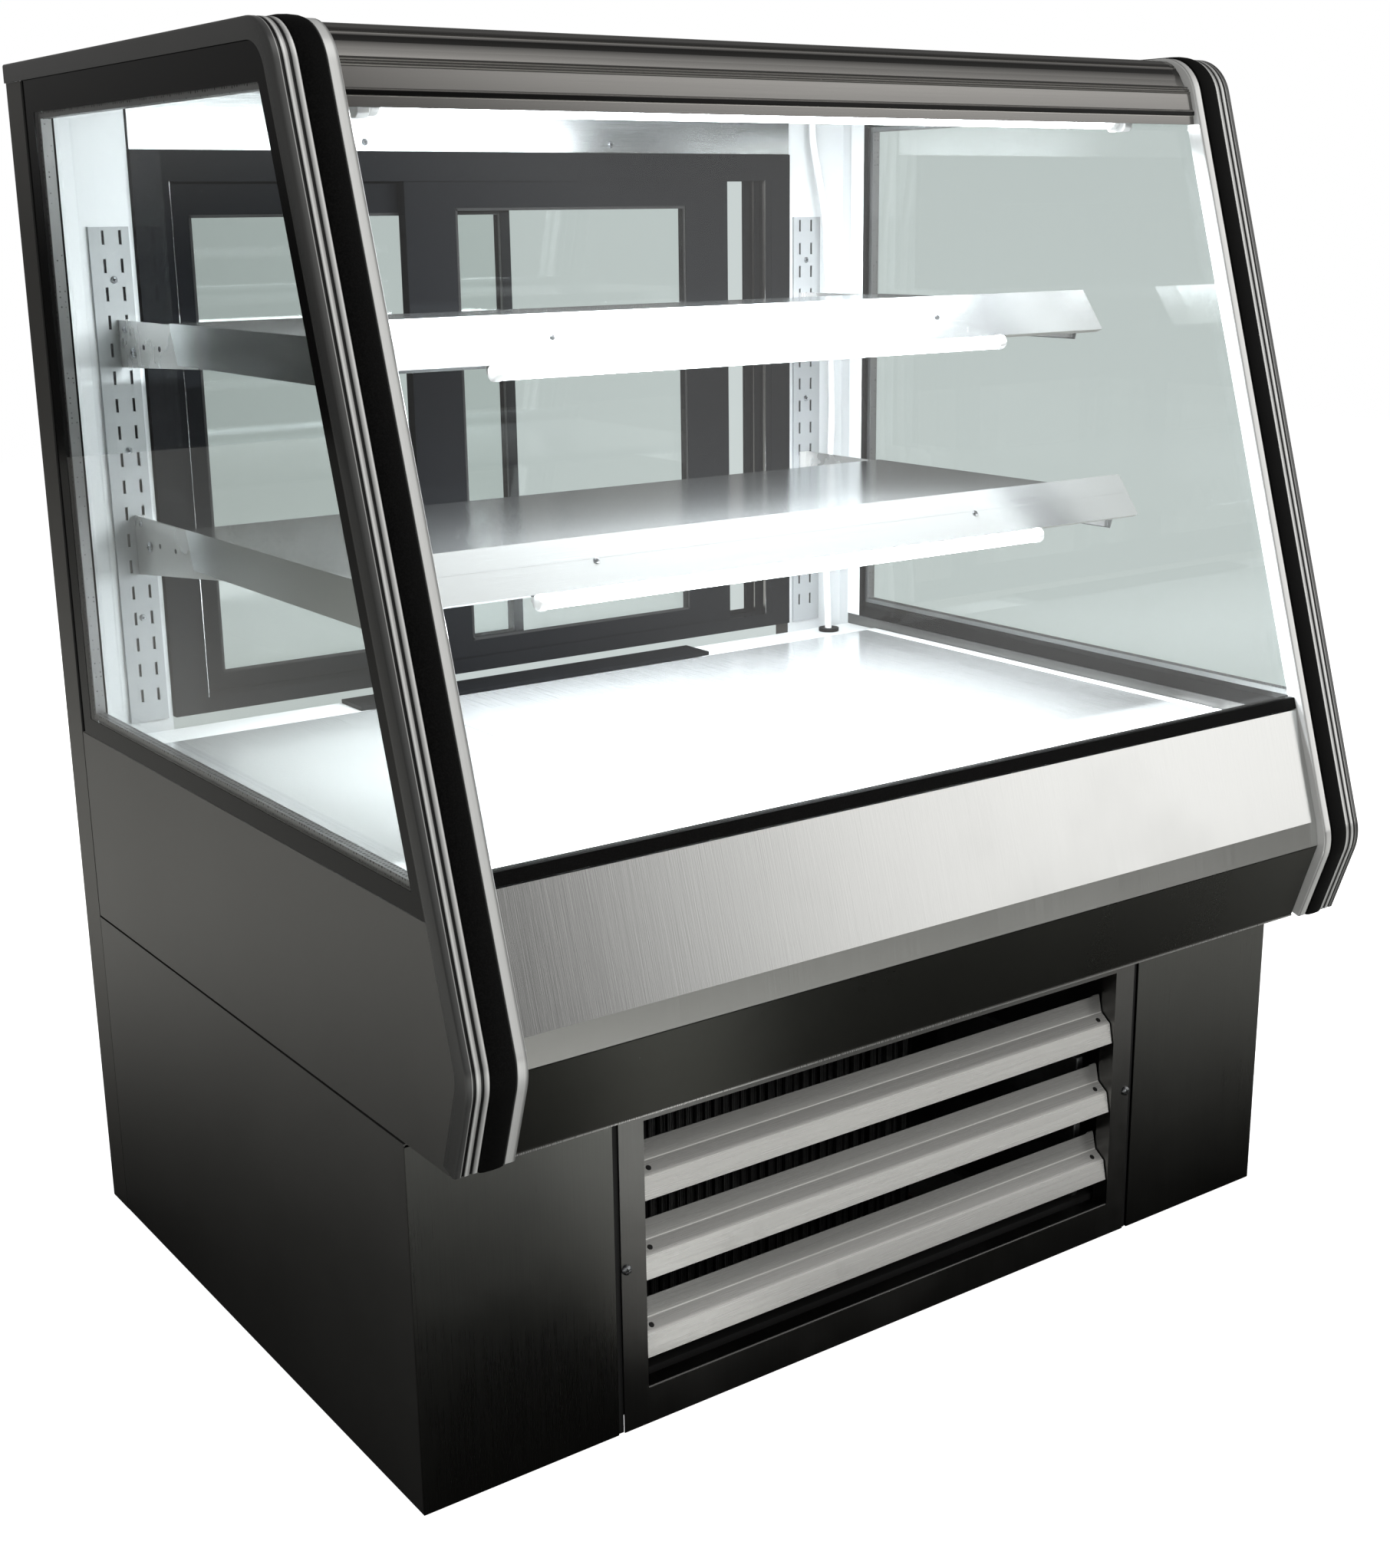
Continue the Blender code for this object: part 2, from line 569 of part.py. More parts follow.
def roof():
    top = box("top_panel", (-FILL_X, FILL_X), (0.0005, 0.6640), (ROOF_Z, 1.3920), "graphite_panel")
    join(top, box("header", (-0.4840, 0.4840), (0.0020, 0.0320), (FRAME_HEAD_Z + 0.0005, ROOF_Z + 0.005),
                  where=CUTTERS))
    outer = [(0.6645, 1.3920), (0.6745, 1.3905), (0.6830, 1.3868), (0.6870, 1.3840), (0.6866, 1.3825),
             (0.6888, 1.3826), (0.6905, 1.3800), (0.6955, 1.3745), (0.6995, 1.3680), (0.7040, 1.3615),
             (0.7090, 1.3600), (0.7085, 1.3580), (0.7115, 1.3572), (0.7108, 1.3552), (0.7135, 1.3545),
             (0.7130, 1.3525), (0.7185, 1.3345), (0.7212, 1.3325), (0.7212, 1.3285), (0.7196, 1.3275),
             (0.7216, 1.3180)]
    inner = [(0.7176, 1.3180), (0.7158, 1.3270), (0.7136, 1.3400), (0.7080, 1.3480), (0.6990, 1.3560),
             (0.6950, 1.3640), (0.6900, 1.3720), (0.6830, 1.3790), (0.6780, 1.3820), (0.6645, 1.3870)]
    across("top_front_rail", outer + inner, (-FILL_X, FILL_X), "rail_aluminium")


def front():
    face = -0.004
    pane = [(slant_d(z, off), z) for z, off in ((0.6680, face), (1.3335, face), (1.3335, face - 0.006),
                                                (0.6680, face - 0.006))]
    across("front_glass", pane, (-FILL_X + 0.0010, FILL_X - 0.0010), "clear_glass")
    seal = [(slant_d(z, off), z) for z, off in ((0.6550, -0.001), (0.6674, -0.001), (0.6674, -0.012),
                                                (0.6550, -0.012))]
    across("front_gasket", seal, (-FILL_X, FILL_X), "black_vinyl")
    path = [(slant_d(LIP_TOP_Z, -0.013), LIP_TOP_Z), (slant_d(LIP_TOP_Z, -0.001), LIP_TOP_Z),
            (slant_d(FASCIA_BEND_Z, -0.001), FASCIA_BEND_Z), FASCIA_FOOT]
    across("front_fascia", folded(path, -SHEET), (-FILL_X, FILL_X), "stainless")
    top = (FASCIA_FOOT[0] - 0.0003, FASCIA_FOOT[1] - 0.0012)
    path = [top, UNDERSIDE_FOOT, (UNDERSIDE_BACK_D, UNDERSIDE_FOOT[1])]
    across("front_underside_panel", folded(path, -SHEET), (-FILL_X, FILL_X), "graphite_panel")


# ---- doors --------------------------------------------------------------------------------------
POCKET = DOOR_THICKNESS + 2 * DOOR_PLAY
FRONT_POCKET = (FRAME_FRONT_D - DOOR_LIP - POCKET, FRAME_FRONT_D - DOOR_LIP)
REAR_POCKET = (FRAME_BACK_D + DOOR_LIP, FRAME_BACK_D + DOOR_LIP + POCKET)


def doors():
    frame = box("door_frame", (-FRAME_X, FRAME_X), (FRAME_BACK_D, FRAME_FRONT_D),
                (FRAME_FOOT_Z, FRAME_HEAD_Z), "black_frame")
    cut(frame, cutter_box((-0.4500, 0.4500), (-0.1, 0.1), (0.6480, 1.2680)))
    for pocket in (FRONT_POCKET, REAR_POCKET):
        reach = DOOR_REACH_X + 0.0010
        cut(frame, cutter_box((-reach, reach), pocket, (DOOR_FOOT_Z - 0.0010, DOOR_HEAD_Z + 0.0010)))
    left_x = (-DOOR_REACH_X, -DOOR_REACH_X + DOOR_WIDTH)
    right_edge = DOOR_REACH_X - RIGHT_DOOR_OPEN
    right_x = (right_edge - DOOR_WIDTH, right_edge)
    stile = 0.072
    for side, x, pocket, stiles in (("left", left_x, REAR_POCKET, (0.062, 0.014)),
                                    ("right", right_x, FRONT_POCKET, (stile, stile))):
        d = (pocket[0] + DOOR_PLAY, pocket[1] - DOOR_PLAY)
        light_x = (x[0] + stiles[0], x[1] - stiles[1])
        light_z = (0.6700, 1.2350 if side == "right" else 1.2300)
        leaf = box(f"sliding_door_{side}", x, d, (DOOR_FOOT_Z, DOOR_HEAD_Z), "black_frame")
        cut(leaf, cutter_box(light_x, (-0.1, 0.1), light_z))
        pull_x = (x[0] + 0.018, x[0] + 0.040) if side == "left" else (x[1] - 0.040, x[1] - 0.018)
        cut(leaf, cutter_box(pull_x, (d[0] - 0.01, d[0] + 0.010), (0.880, 1.010)))
        inset = 0.0005
        pane_x = (light_x[0] + inset, light_x[1] - inset)
        pane_z = (light_z[0] + inset, light_z[1] - inset)
        box(f"door_glass_{side}", pane_x, (d[0] + 0.002, d[1] - 0.002), pane_z, "clear_glass")


# ---- shelves ------------------------------------------------------------------------------------
def slot_span(row):
    top = FIRST_SLOT_TOP - row * SLOT_PITCH
    return (top - SLOT_HEIGHT, top)


def standards():
    back = JAMB_D + GAP
    plan = [(-STANDARD_OUTER_X, back), (-STANDARD_OUTER_X, STANDARD_FACE_D),
            (-STANDARD_INNER_X, STANDARD_FACE_D), (-STANDARD_INNER_X, back)]
    standard = upright("shelf_standard_left", folded(plan, -SHEET), (STANDARD_FOOT_Z, STANDARD_HEAD_Z),
                       "white_liner")
    slots = [((-x - SLOT_WIDTH / 2, -x + SLOT_WIDTH / 2), (0.032, 0.040), slot_span(row))
             for x in SLOT_COLUMNS for row in range(SLOT_ROWS)]
    cut(standard, many_boxes(slots))
    mirrored(standard, "shelf_standard_right")


def shelf(name, plate_z, lip_d, lip_z, heel_z, rows):
    under = plate_z - SHEET
    front = lip_d + (lip_z - plate_z) * 0.76
    plate = box(f"shelf_{name}", (-SHELF_X, SHELF_X), (0.2000, front), (under, plate_z), "stainless")
    join(plate, box("hem", (-0.508, 0.508), (0.2000, 0.2000 + SHEET), (plate_z - 0.0120, plate_z - 0.0006),
                    where=CUTTERS))
    skirt = [(0.2000, plate_z - 0.0006), (0.2000, plate_z - 0.0040), (0.2150, plate_z - 0.0450),
             (lip_d - 0.0050, plate_z - 0.0465), (lip_d + 0.0080, plate_z - 0.0006)]
    for side in (-1, 1):
        span = sorted((side * SHELF_X, side * (SHELF_X - SHEET)))
        join(plate, across("skirt", skirt, span, where=CUTTERS))
    lip = [(lip_d, lip_z), (lip_d + 0.0352, lip_z - 0.0467), (lip_d + 0.0255, lip_z - 0.0505)]
    join(plate, across("lip", folded(lip, -SHEET), (-LIP_X, LIP_X), where=CUTTERS))
    top = under - 0.0005
    heel, tip = STANDARD_FACE_D + 0.0010, lip_d - 0.0120
    shape = [(heel, top), (tip, top), (tip, top - 0.0430), (0.3000, top - 0.0440), (heel, heel_z)]
    bracket = across(f"shelf_{name}_bracket_left", shape, (-BRACKET_X[1], -BRACKET_X[0]), "stainless")
    hook_x = (-SLOT_COLUMNS[0] - 0.00125, -SLOT_COLUMNS[0] + 0.00125)
    spans = [slot_span(row) for row in rows]
    high = min(spans[0][1], top + 0.0015)
    foot = spans[-1][0] + 0.0015
    join(bracket, box("tab", (-BRACKET_X[1] + 0.0004, hook_x[1]), (heel, heel + 0.0025),
                      (foot, top - 0.0004), where=CUTTERS))
    for low, head in spans:
        hook_z = (low + 0.0015, min(head, high) - 0.0015)
        join(bracket, box("hook", hook_x, (0.0315, heel + 0.0010), hook_z, where=CUTTERS))
    mirrored(bracket, f"shelf_{name}_bracket_right")
    cylinder(f"shelf_lamp_{name}", LAMP_RADIUS, 0.700, (0.0, lip_d + LAMP_AHEAD, lip_z - LAMP_BELOW), "X",
             "lamp_tube", 16)


def lamp_lead():
    """The white lead that drops from the header down the right rear corner into the deck."""
    cylinder("canopy_lamp", 0.0130, 0.980, (0.0, *CANOPY_LAMP), "X", "lamp_tube", 16)
    ring = cylinder("cable_grommet", 0.0150, 0.0050, (*LEAD_HOLE, 0.6213), "Z", "black_vinyl", 20)
    cut(ring, cylinder("bore", 0.0064, 0.05, (*LEAD_HOLE, 0.6213), "Z", sides=16, where=CUTTERS))
    route = [(0.5170, 0.0480, 1.3745), (0.5130, 0.0500, 1.3300), (0.5200, 0.0540, 1.2800),
             (0.5300, 0.0580, 1.2200), (0.5340, 0.0600, 1.1400), (0.5380, 0.0620, 1.0400),
             (0.5400, 0.0640, 0.9400), (0.5340, 0.0660, 0.8400), (0.5270, 0.0690, 0.7400),
             (0.5240, 0.0760, 0.6700), (0.5240, 0.0800, 0.6030)]
    points = smooth([Vector((x, BACK - d, z)) for x, d, z in route], 4)
    curve = bpy.data.curves.new("lamp_cable", "CURVE")
    curve.dimensions = "3D"
    curve.bevel_depth = CABLE_DIAMETER / 2
    curve.bevel_resolution = 2
    curve.use_fill_caps = True
    spline = curve.splines.new("POLY")
    spline.points.add(len(points) - 1)
    for point, place in zip(spline.points, points):
        point.co = (*place, 1.0)
    cable = bpy.data.objects.new("lamp_cable", curve)
    PARTS.objects.link(cable)
    finish(cable, "white_cable")


def smooth(points, steps):
    """Points along a Catmull-Rom curve through the given ones."""
    ends = [points[0] * 2 - points[1], *points, points[-1] * 2 - points[-2]]
    out = []
    for a, b, c, d in zip(ends, ends[1:], ends[2:], ends[3:]):
        for i in range(steps):
            t = i / steps
            bend = (2 * a - 5 * b + 4 * c - d) * t ** 2 + (3 * b - a - 3 * c + d) * t ** 3
            out.append(0.5 * (2 * b + (c - a) * t + bend))
    return [*out, points[-1]]


# ---- deck and what lies under it ----------------------------------------------------------------
def deck():
    seam = 0.0005
    for side, x in (("left", (-DECK_X, DECK_SPLIT_X - seam)), ("right", (DECK_SPLIT_X + seam, DECK_X))):
        pan = box(f"deck_pan_{side}", x, (DECK_BACK_D, DECK_FRONT_D), (RIM_Z + GAP, DECK_Z), "stainless")
        cut(pan, cutter_box((x[0] + SHEET, x[1] - SHEET), (DECK_BACK_D + SHEET, DECK_FRONT_D - SHEET),
                            (0.5, DECK_Z - SHEET)))
    grille_x = (-0.2675, 0.2800)
    grate = box("rear_air_grille", grille_x, (0.0540, 0.1100), (0.6188, 0.6240), "black_frame")
    bars = [((grille_x[0] + 0.008, grille_x[1] - 0.008), (0.0590 + i * 0.0070, 0.0628 + i * 0.0070),
             (0.6, 0.7)) for i in range(7)]
    cut(grate, many_boxes(bars))


def evaporator():
    coil = box("evaporator_coil", (-0.430, 0.430), (0.380, 0.600), (0.4510, 0.5700), "coil_fins")
    fins = [((-0.43 + 0.02 + i * 0.058, -0.43 + 0.04 + i * 0.058), (0.3, 0.7), (0.5620, 0.6))
            for i in range(14)]
    cut(coil, many_boxes(fins))
    join(coil, box("arm", (-0.012, 0.012), (0.300, 0.390), (0.4510, 0.4600), where=CUTTERS))
    join(coil, box("stand", (-0.012, 0.012), (0.300, 0.330), (0.4550, 0.5150), where=CUTTERS))
    join(coil, cylinder("motor", 0.022, 0.050, (0.0, 0.3150, 0.5250), "Y", sides=16, where=CUTTERS))
    rotor("evaporator_fan", 0.060, 0.014, 0.016, 4, (0.0, 0.2800, 0.5250), "fan_blade")


base_frame()
base_panels()
grille()
base_rear()
condensing_unit()
tub()
end_panels()
end_trims()
rear_posts()
roof()
front()
doors()
standards()
for shelf_name, dimensions in SHELVES.items():
    shelf(shelf_name, *dimensions)
lamp_lead()
deck()
evaporator()
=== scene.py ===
"""Looks for the refrigerated deli case: camera, light, procedural materials and fine detail.

Metres, +Z up. Distances called depth or d run forward from the rear plane of the end assemblies,
so y = BACK - d.
"""
import json
import math

import bmesh
import bpy
from mathutils import Matrix, Vector

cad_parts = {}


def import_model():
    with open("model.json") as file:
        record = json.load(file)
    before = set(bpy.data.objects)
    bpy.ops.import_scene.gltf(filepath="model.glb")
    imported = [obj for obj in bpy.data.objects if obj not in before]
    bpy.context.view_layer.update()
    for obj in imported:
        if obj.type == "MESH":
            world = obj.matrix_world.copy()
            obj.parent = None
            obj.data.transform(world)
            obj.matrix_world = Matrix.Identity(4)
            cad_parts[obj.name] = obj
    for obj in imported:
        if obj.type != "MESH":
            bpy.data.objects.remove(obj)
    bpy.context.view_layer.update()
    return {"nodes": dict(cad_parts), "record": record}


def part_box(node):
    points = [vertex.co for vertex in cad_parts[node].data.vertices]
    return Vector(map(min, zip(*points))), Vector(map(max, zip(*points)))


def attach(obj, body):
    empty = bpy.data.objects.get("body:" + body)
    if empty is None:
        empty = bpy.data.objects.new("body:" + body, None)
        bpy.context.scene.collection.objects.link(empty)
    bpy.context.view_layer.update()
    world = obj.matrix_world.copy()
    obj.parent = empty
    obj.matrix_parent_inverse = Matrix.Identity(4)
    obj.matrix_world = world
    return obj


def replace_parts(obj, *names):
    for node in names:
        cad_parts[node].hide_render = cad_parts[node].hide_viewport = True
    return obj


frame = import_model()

NODES = frame["nodes"]
SCENE = bpy.context.scene
BACK = 0.4802                         # y of the rear plane of the end assemblies
SLANT = 0.3073                        # how far the front plane runs forward for each metre down
GLASS_TOP = (0.7176, 1.3296)          # depth and height of a point of the slanted front plane


def slant_d(z, off=0.0):
    """Depth of the slanted front plane at height z, moved out of the plane by off."""
    return GLASS_TOP[0] + (GLASS_TOP[1] - z) * SLANT + off * math.hypot(1, SLANT)


# ---- camera --------------------------------------------------------------------------------------
VIEW_PLACE = (-1.3825, -1.9341, 1.2251)
VIEW_ANGLES = (35.3618, 15.6689, -0.6937)      # degrees: yaw from straight ahead, pitch down, roll
VIEW_LENS = 46.713                             # millimetres, on a sensor 36 mm high


def camera():
    yaw, pitch, roll = (math.radians(a) for a in VIEW_ANGLES)
    forward = Vector((math.sin(yaw) * math.cos(pitch), math.cos(yaw) * math.cos(pitch), -math.sin(pitch)))
    right = Vector((math.cos(yaw), -math.sin(yaw), 0.0))
    up = right.cross(forward)
    turned_right = math.cos(roll) * right + math.sin(roll) * up
    turned_up = -math.sin(roll) * right + math.cos(roll) * up
    data = bpy.data.cameras.new("view")
    data.sensor_fit = "VERTICAL"
    data.sensor_height = 36.0
    data.lens = VIEW_LENS
    data.clip_start = 0.05
    obj = bpy.data.objects.new("view", data)
    SCENE.collection.objects.link(obj)
    turn = Matrix((turned_right, turned_up, -forward)).transposed()
    obj.matrix_world = Matrix.Translation(VIEW_PLACE) @ turn.to_4x4()
    SCENE.camera = obj


camera()
SCENE.view_settings.view_transform = "Standard"


# ---- node building -------------------------------------------------------------------------------
class Graph:
    """A node tree that is filled by calling node(type, inputs, settings)."""

    def __init__(self, tree):
        self.tree = tree
        tree.nodes.clear()

    def node(self, kind, inputs=None, **settings):
        made = self.tree.nodes.new(kind)
        for key, value in settings.items():
            setattr(made, key, value)
        for key, value in (inputs or {}).items():
            socket = made.inputs[key]
            if isinstance(value, bpy.types.NodeSocket):
                self.tree.links.new(value, socket)
            else:
                socket.default_value = value
        return made

    def math(self, operation, *values, clamp=False):
        return self.node("ShaderNodeMath", dict(enumerate(values)), operation=operation,
                         use_clamp=clamp).outputs[0]

    def remap(self, value, low, high, out_low=0.0, out_high=1.0, smooth=False):
        made = self.node("ShaderNodeMapRange", {0: value, 1: low, 2: high, 3: out_low, 4: out_high})
        made.interpolation_type = "SMOOTHSTEP" if smooth else "LINEAR"
        return made.outputs[0]

    def mix(self, share, a, b, blend="MIX"):
        made = self.node("ShaderNodeMix", {0: share, 6: a, 7: b}, data_type="RGBA", blend_type=blend)
        return made.outputs[2]

    def place(self, scale=(1.0, 1.0, 1.0), turn=(0.0, 0.0, 0.0)):
        """Object coordinates in metres, scaled."""
        coords = self.node("ShaderNodeTexCoord")
        return self.node("ShaderNodeMapping", {0: coords.outputs["Object"], 2: turn, 3: scale}).outputs[0]

    def noise(self, scale, stretch=(1.0, 1.0, 1.0), detail=2.0, roughness=0.5, turn=(0.0, 0.0, 0.0)):
        inputs = {"Vector": self.place(stretch, turn), "Scale": scale, "Detail": detail, "Roughness": roughness}
        return self.node("ShaderNodeTexNoise", inputs).outputs["Fac"]

    def bump(self, height, strength, distance):
        return self.node("ShaderNodeBump", {"Height": height, "Strength": strength,
                                            "Distance": distance}).outputs[0]


def grey(value, tint=(1.0, 1.0, 1.0)):
    return (value * tint[0], value * tint[1], value * tint[2], 1.0)


def material(name):
    mat = bpy.data.materials.new(name)
    mat.use_nodes = True
    return mat, Graph(mat.node_tree)


def surface(g, shader):
    g.node("ShaderNodeOutputMaterial", {"Surface": shader})


# ---- materials -----------------------------------------------------------------------------------
def brushed(name, colour, roughness, grain, metallic=1.0, streak=0.05, tone=0.10, smudge=0.10,
            smudge_scale=5.0):
    """Brushed metal. grain is how many strokes a metre there are along x, y and z."""
    mat, g = material(name)
    strokes = g.noise(1.0, grain, 3.0, 0.6)
    fine = g.noise(1.0, tuple(3.1 * s for s in grain), 1.0)
    cloud = g.noise(smudge_scale, detail=4.0, roughness=0.62)
    wipe = g.remap(cloud, 0.42, 0.72, 0.0, 1.0, smooth=True)
    dark = tuple(c * (1.0 - tone) for c in colour[:3]) + (1.0,)
    base = g.mix(g.remap(strokes, 0.25, 0.75), dark, colour)
    base = g.mix(g.math("MULTIPLY", wipe, smudge), base, dark)
    rough = g.math("ADD", g.remap(strokes, 0.2, 0.8, roughness - streak, roughness + streak),
                   g.math("MULTIPLY", wipe, smudge * 0.9), clamp=True)
    height = g.math("ADD", g.math("MULTIPLY", strokes, 0.7), g.math("MULTIPLY", fine, 0.3))
    shader = g.node("ShaderNodeBsdfPrincipled", {
        "Base Color": base, "Metallic": metallic, "Roughness": rough, "Normal": g.bump(height, 0.12, 0.0004)})
    surface(g, shader.outputs[0])
    return mat


def painted(name, colour, roughness, metallic=0.0, peel=900.0, peel_strength=0.05, dust=0.06, dust_colour=None,
            specular=0.5):
    """Paint, plastic or coated sheet with fine orange peel, faint mottling and a little dust."""
    mat, g = material(name)
    cloud = g.noise(3.5, detail=5.0, roughness=0.6)
    speck = g.noise(420.0, detail=2.0)
    dusty = dust_colour or tuple(min(1.0, c * 1.8 + 0.02) for c in colour[:3]) + (1.0,)
    share = g.math("MULTIPLY", g.remap(cloud, 0.35, 0.75, smooth=True), dust)
    base = g.mix(share, colour, dusty)
    base = g.mix(g.math("MULTIPLY", g.remap(speck, 0.6, 0.8), dust * 0.6), base, dusty)
    rough = g.math("ADD", g.remap(cloud, 0.3, 0.7, roughness * 0.90, roughness * 1.10),
                   g.math("MULTIPLY", speck, 0.04), clamp=True)
    shader = g.node("ShaderNodeBsdfPrincipled", {
        "Base Color": base, "Metallic": metallic, "Roughness": rough, "Specular IOR Level": specular,
        "Normal": g.bump(g.noise(peel, detail=2.0), peel_strength, 0.0006)})
    surface(g, shader.outputs[0])
    return mat


def glass(name, tint, roughness=0.015, reflect=1.0):
    """Clear glass: what lies behind it, tinted, under a faintly smeared mirror that grows at low angles."""
    mat, g = material(name)
    cloud = g.noise(2.4, detail=5.0, roughness=0.65)
    smear = g.remap(cloud, 0.45, 0.75, smooth=True)
    rough = g.math("ADD", roughness, g.math("MULTIPLY", smear, 0.02))
    clear = g.node("ShaderNodeBsdfTransparent", {"Color": tint})
    mirror = g.node("ShaderNodeBsdfGlossy", {"Color": (1.0, 1.0, 1.0, 1.0), "Roughness": rough})
    facing = g.node("ShaderNodeLayerWeight", {"Blend": 0.5}).outputs["Facing"]
    share = g.math("MULTIPLY_ADD", g.math("POWER", facing, 5.0), 0.955 * reflect, 0.043 * reflect, clamp=True)
    both = g.node("ShaderNodeMixShader", {0: share, 1: clear.outputs[0], 2: mirror.outputs[0]})
    surface(g, both.outputs[0])
    return mat


def lamp(name, colour, strength):
    """A lit tube, whose brightness varies a little along its length."""
    mat, g = material(name)
    ends = g.noise(30.0, (1.0, 0.0, 0.0))
    power = g.remap(ends, 0.3, 0.7, strength * 0.95, strength * 1.05)
    shader = g.node("ShaderNodeBsdfPrincipled", {
        "Base Color": grey(0.9), "Roughness": 0.3, "Emission Color": colour, "Emission Strength": power})
    surface(g, shader.outputs[0])
    return mat


def vinyl(name, colour, roughness):
    """Extruded bumper strip with a fine leathery grain."""
    mat, g = material(name)
    coords = g.place()
    cells = g.node("ShaderNodeTexVoronoi", {"Vector": coords, "Scale": 900.0}).outputs["Distance"]
    grain = g.noise(600.0, detail=3.0)
    base = g.mix(g.remap(grain, 0.4, 0.75), colour, tuple(c * 2.2 + 0.003 for c in colour[:3]) + (1.0,))
    height = g.math("ADD", g.math("MULTIPLY", cells, 0.6), g.math("MULTIPLY", grain, 0.4))
    shader = g.node("ShaderNodeBsdfPrincipled", {
        "Base Color": base, "Roughness": g.remap(grain, 0.3, 0.7, roughness - 0.06, roughness + 0.08),
        "Specular IOR Level": 0.10, "Normal": g.bump(height, 0.35, 0.0005)})
    surface(g, shader.outputs[0])
    return mat


def finned(name, colour, pitch, axis, roughness=0.45, dark=0.25):
    """Stacked aluminium fins, seen as fine lines across one axis, with painted shade in the gaps between them.
    """
    mat, g = material(name)
    split = g.node("ShaderNodeSeparateXYZ", {0: g.place()})
    wave = g.math("SINE", g.math("MULTIPLY", split.outputs[axis], math.tau / pitch))
    line = g.remap(wave, -0.4, 0.5)
    dents = g.noise(90.0, detail=3.0)
    bright = g.math("MULTIPLY", line, g.remap(dents, 0.3, 0.6, 0.6, 1.0))
    # painted shade: the gaps between the fins are darkened to this share of the colour
    gap_shade_colour = tuple(c * dark for c in colour[:3]) + (1.0,)
    shader = g.node("ShaderNodeBsdfPrincipled", {
        "Base Color": g.mix(bright, gap_shade_colour, colour), "Metallic": 0.85, "Roughness": roughness,
        "Normal": g.bump(line, 0.5, 0.0008)})
    surface(g, shader.outputs[0])
    return mat


def perforated(name, colour, pitch):
    """Spacer bar between two panes: dull aluminium with a row of small holes along it, drawn as near-black dots
    of painted shade.
    """
    mat, g = material(name)
    cells = g.node("ShaderNodeTexVoronoi", {"Vector": g.place(), "Scale": 1.0 / pitch,
                                            "Randomness": 0.15}).outputs["Distance"]
    hole = g.remap(cells, 0.26, 0.34)
    shader = g.node("ShaderNodeBsdfPrincipled", {
        "Base Color": g.mix(hole, grey(0.03), colour), "Metallic": 0.9, "Roughness": 0.38,
        "Normal": g.bump(hole, 0.4, 0.0006)})
    surface(g, shader.outputs[0])
    return mat


def lined_post(name, outside, inside):
    """Dark sheet outside the case, white sheet where the post shows between the doors and the glass."""
    mat, g = material(name)
    split = g.node("ShaderNodeSeparateXYZ", {0: g.place()})
    forward = g.math("LESS_THAN", split.outputs[1], BACK - 0.0292)
    within = g.math("LESS_THAN", g.math("ABSOLUTE", split.outputs[0]), 0.5870)
    lined = g.math("MULTIPLY", g.math("MULTIPLY", forward, within),
                   g.math("GREATER_THAN", split.outputs[2], 0.60))
    cloud = g.noise(4.0, detail=5.0)
    dusty = g.mix(g.math("MULTIPLY", cloud, 0.12), inside, grey(0.5))
    shader = g.node("ShaderNodeBsdfPrincipled", {
        "Base Color": g.mix(lined, outside, dusty), "Metallic": g.math("MULTIPLY_ADD", lined, -0.55, 0.75),
        "Roughness": g.remap(cloud, 0.3, 0.7, 0.30, 0.38), "Normal": g.bump(g.noise(1200.0), 0.05, 0.0005)})
    surface(g, shader.outputs[0])
    return mat


def tone_ramp(g, value, tones):
    """Grey tones at places along value, as pairs of place and tone."""
    first, last = tones[0][0], tones[-1][0]
    made = g.node("ShaderNodeValToRGB", {0: g.remap(value, first, last)})
    ramp = made.color_ramp
    ramp.elements[0].color = grey(tones[0][1])
    ramp.elements[1].color = grey(tones[-1][1])
    for place, tone in tones[1:-1]:
        ramp.elements.new((place - first) / (last - first)).color = grey(tone)
    return made.outputs[0]


# Grey tones by place across the end trims (x) and the top rail (z): painted highlights on crowns and edges,
# painted shade in grooves.
TRIM_HIGHLIGHT_AND_SHADE_TONES = ((0.5455, 1.0), (0.5475, 0.30), (0.5500, 0.85), (0.5568, 0.95), (0.5577, 0.10),
              (0.5852, 0.10), (0.5866, 1.0), (0.5904, 0.30), (0.5914, 0.02), (0.5937, 0.02),
              (0.5945, 0.45), (0.5975, 1.0), (0.5994, 0.02), (0.6018, 0.02), (0.6026, 0.55),
              (0.6034, 0.12), (0.6096, 0.05))
RAIL_HIGHLIGHT_AND_SHADE_TONES = ((1.3180, 0.34), (1.3268, 0.40), (1.3276, 0.95), (1.3282, 0.02), (1.3322, 0.02),
              (1.3332, 0.90), (1.3340, 0.40), (1.3518, 0.48), (1.3528, 0.03), (1.3535, 0.90),
              (1.3545, 0.03), (1.3558, 0.90), (1.3570, 0.03), (1.3584, 0.90), (1.3598, 0.03),
              (1.3612, 0.62), (1.3680, 0.40), (1.3750, 0.10), (1.3800, 0.06), (1.3826, 0.40),
              (1.3840, 0.10), (1.3868, 0.34), (1.3925, 0.20))


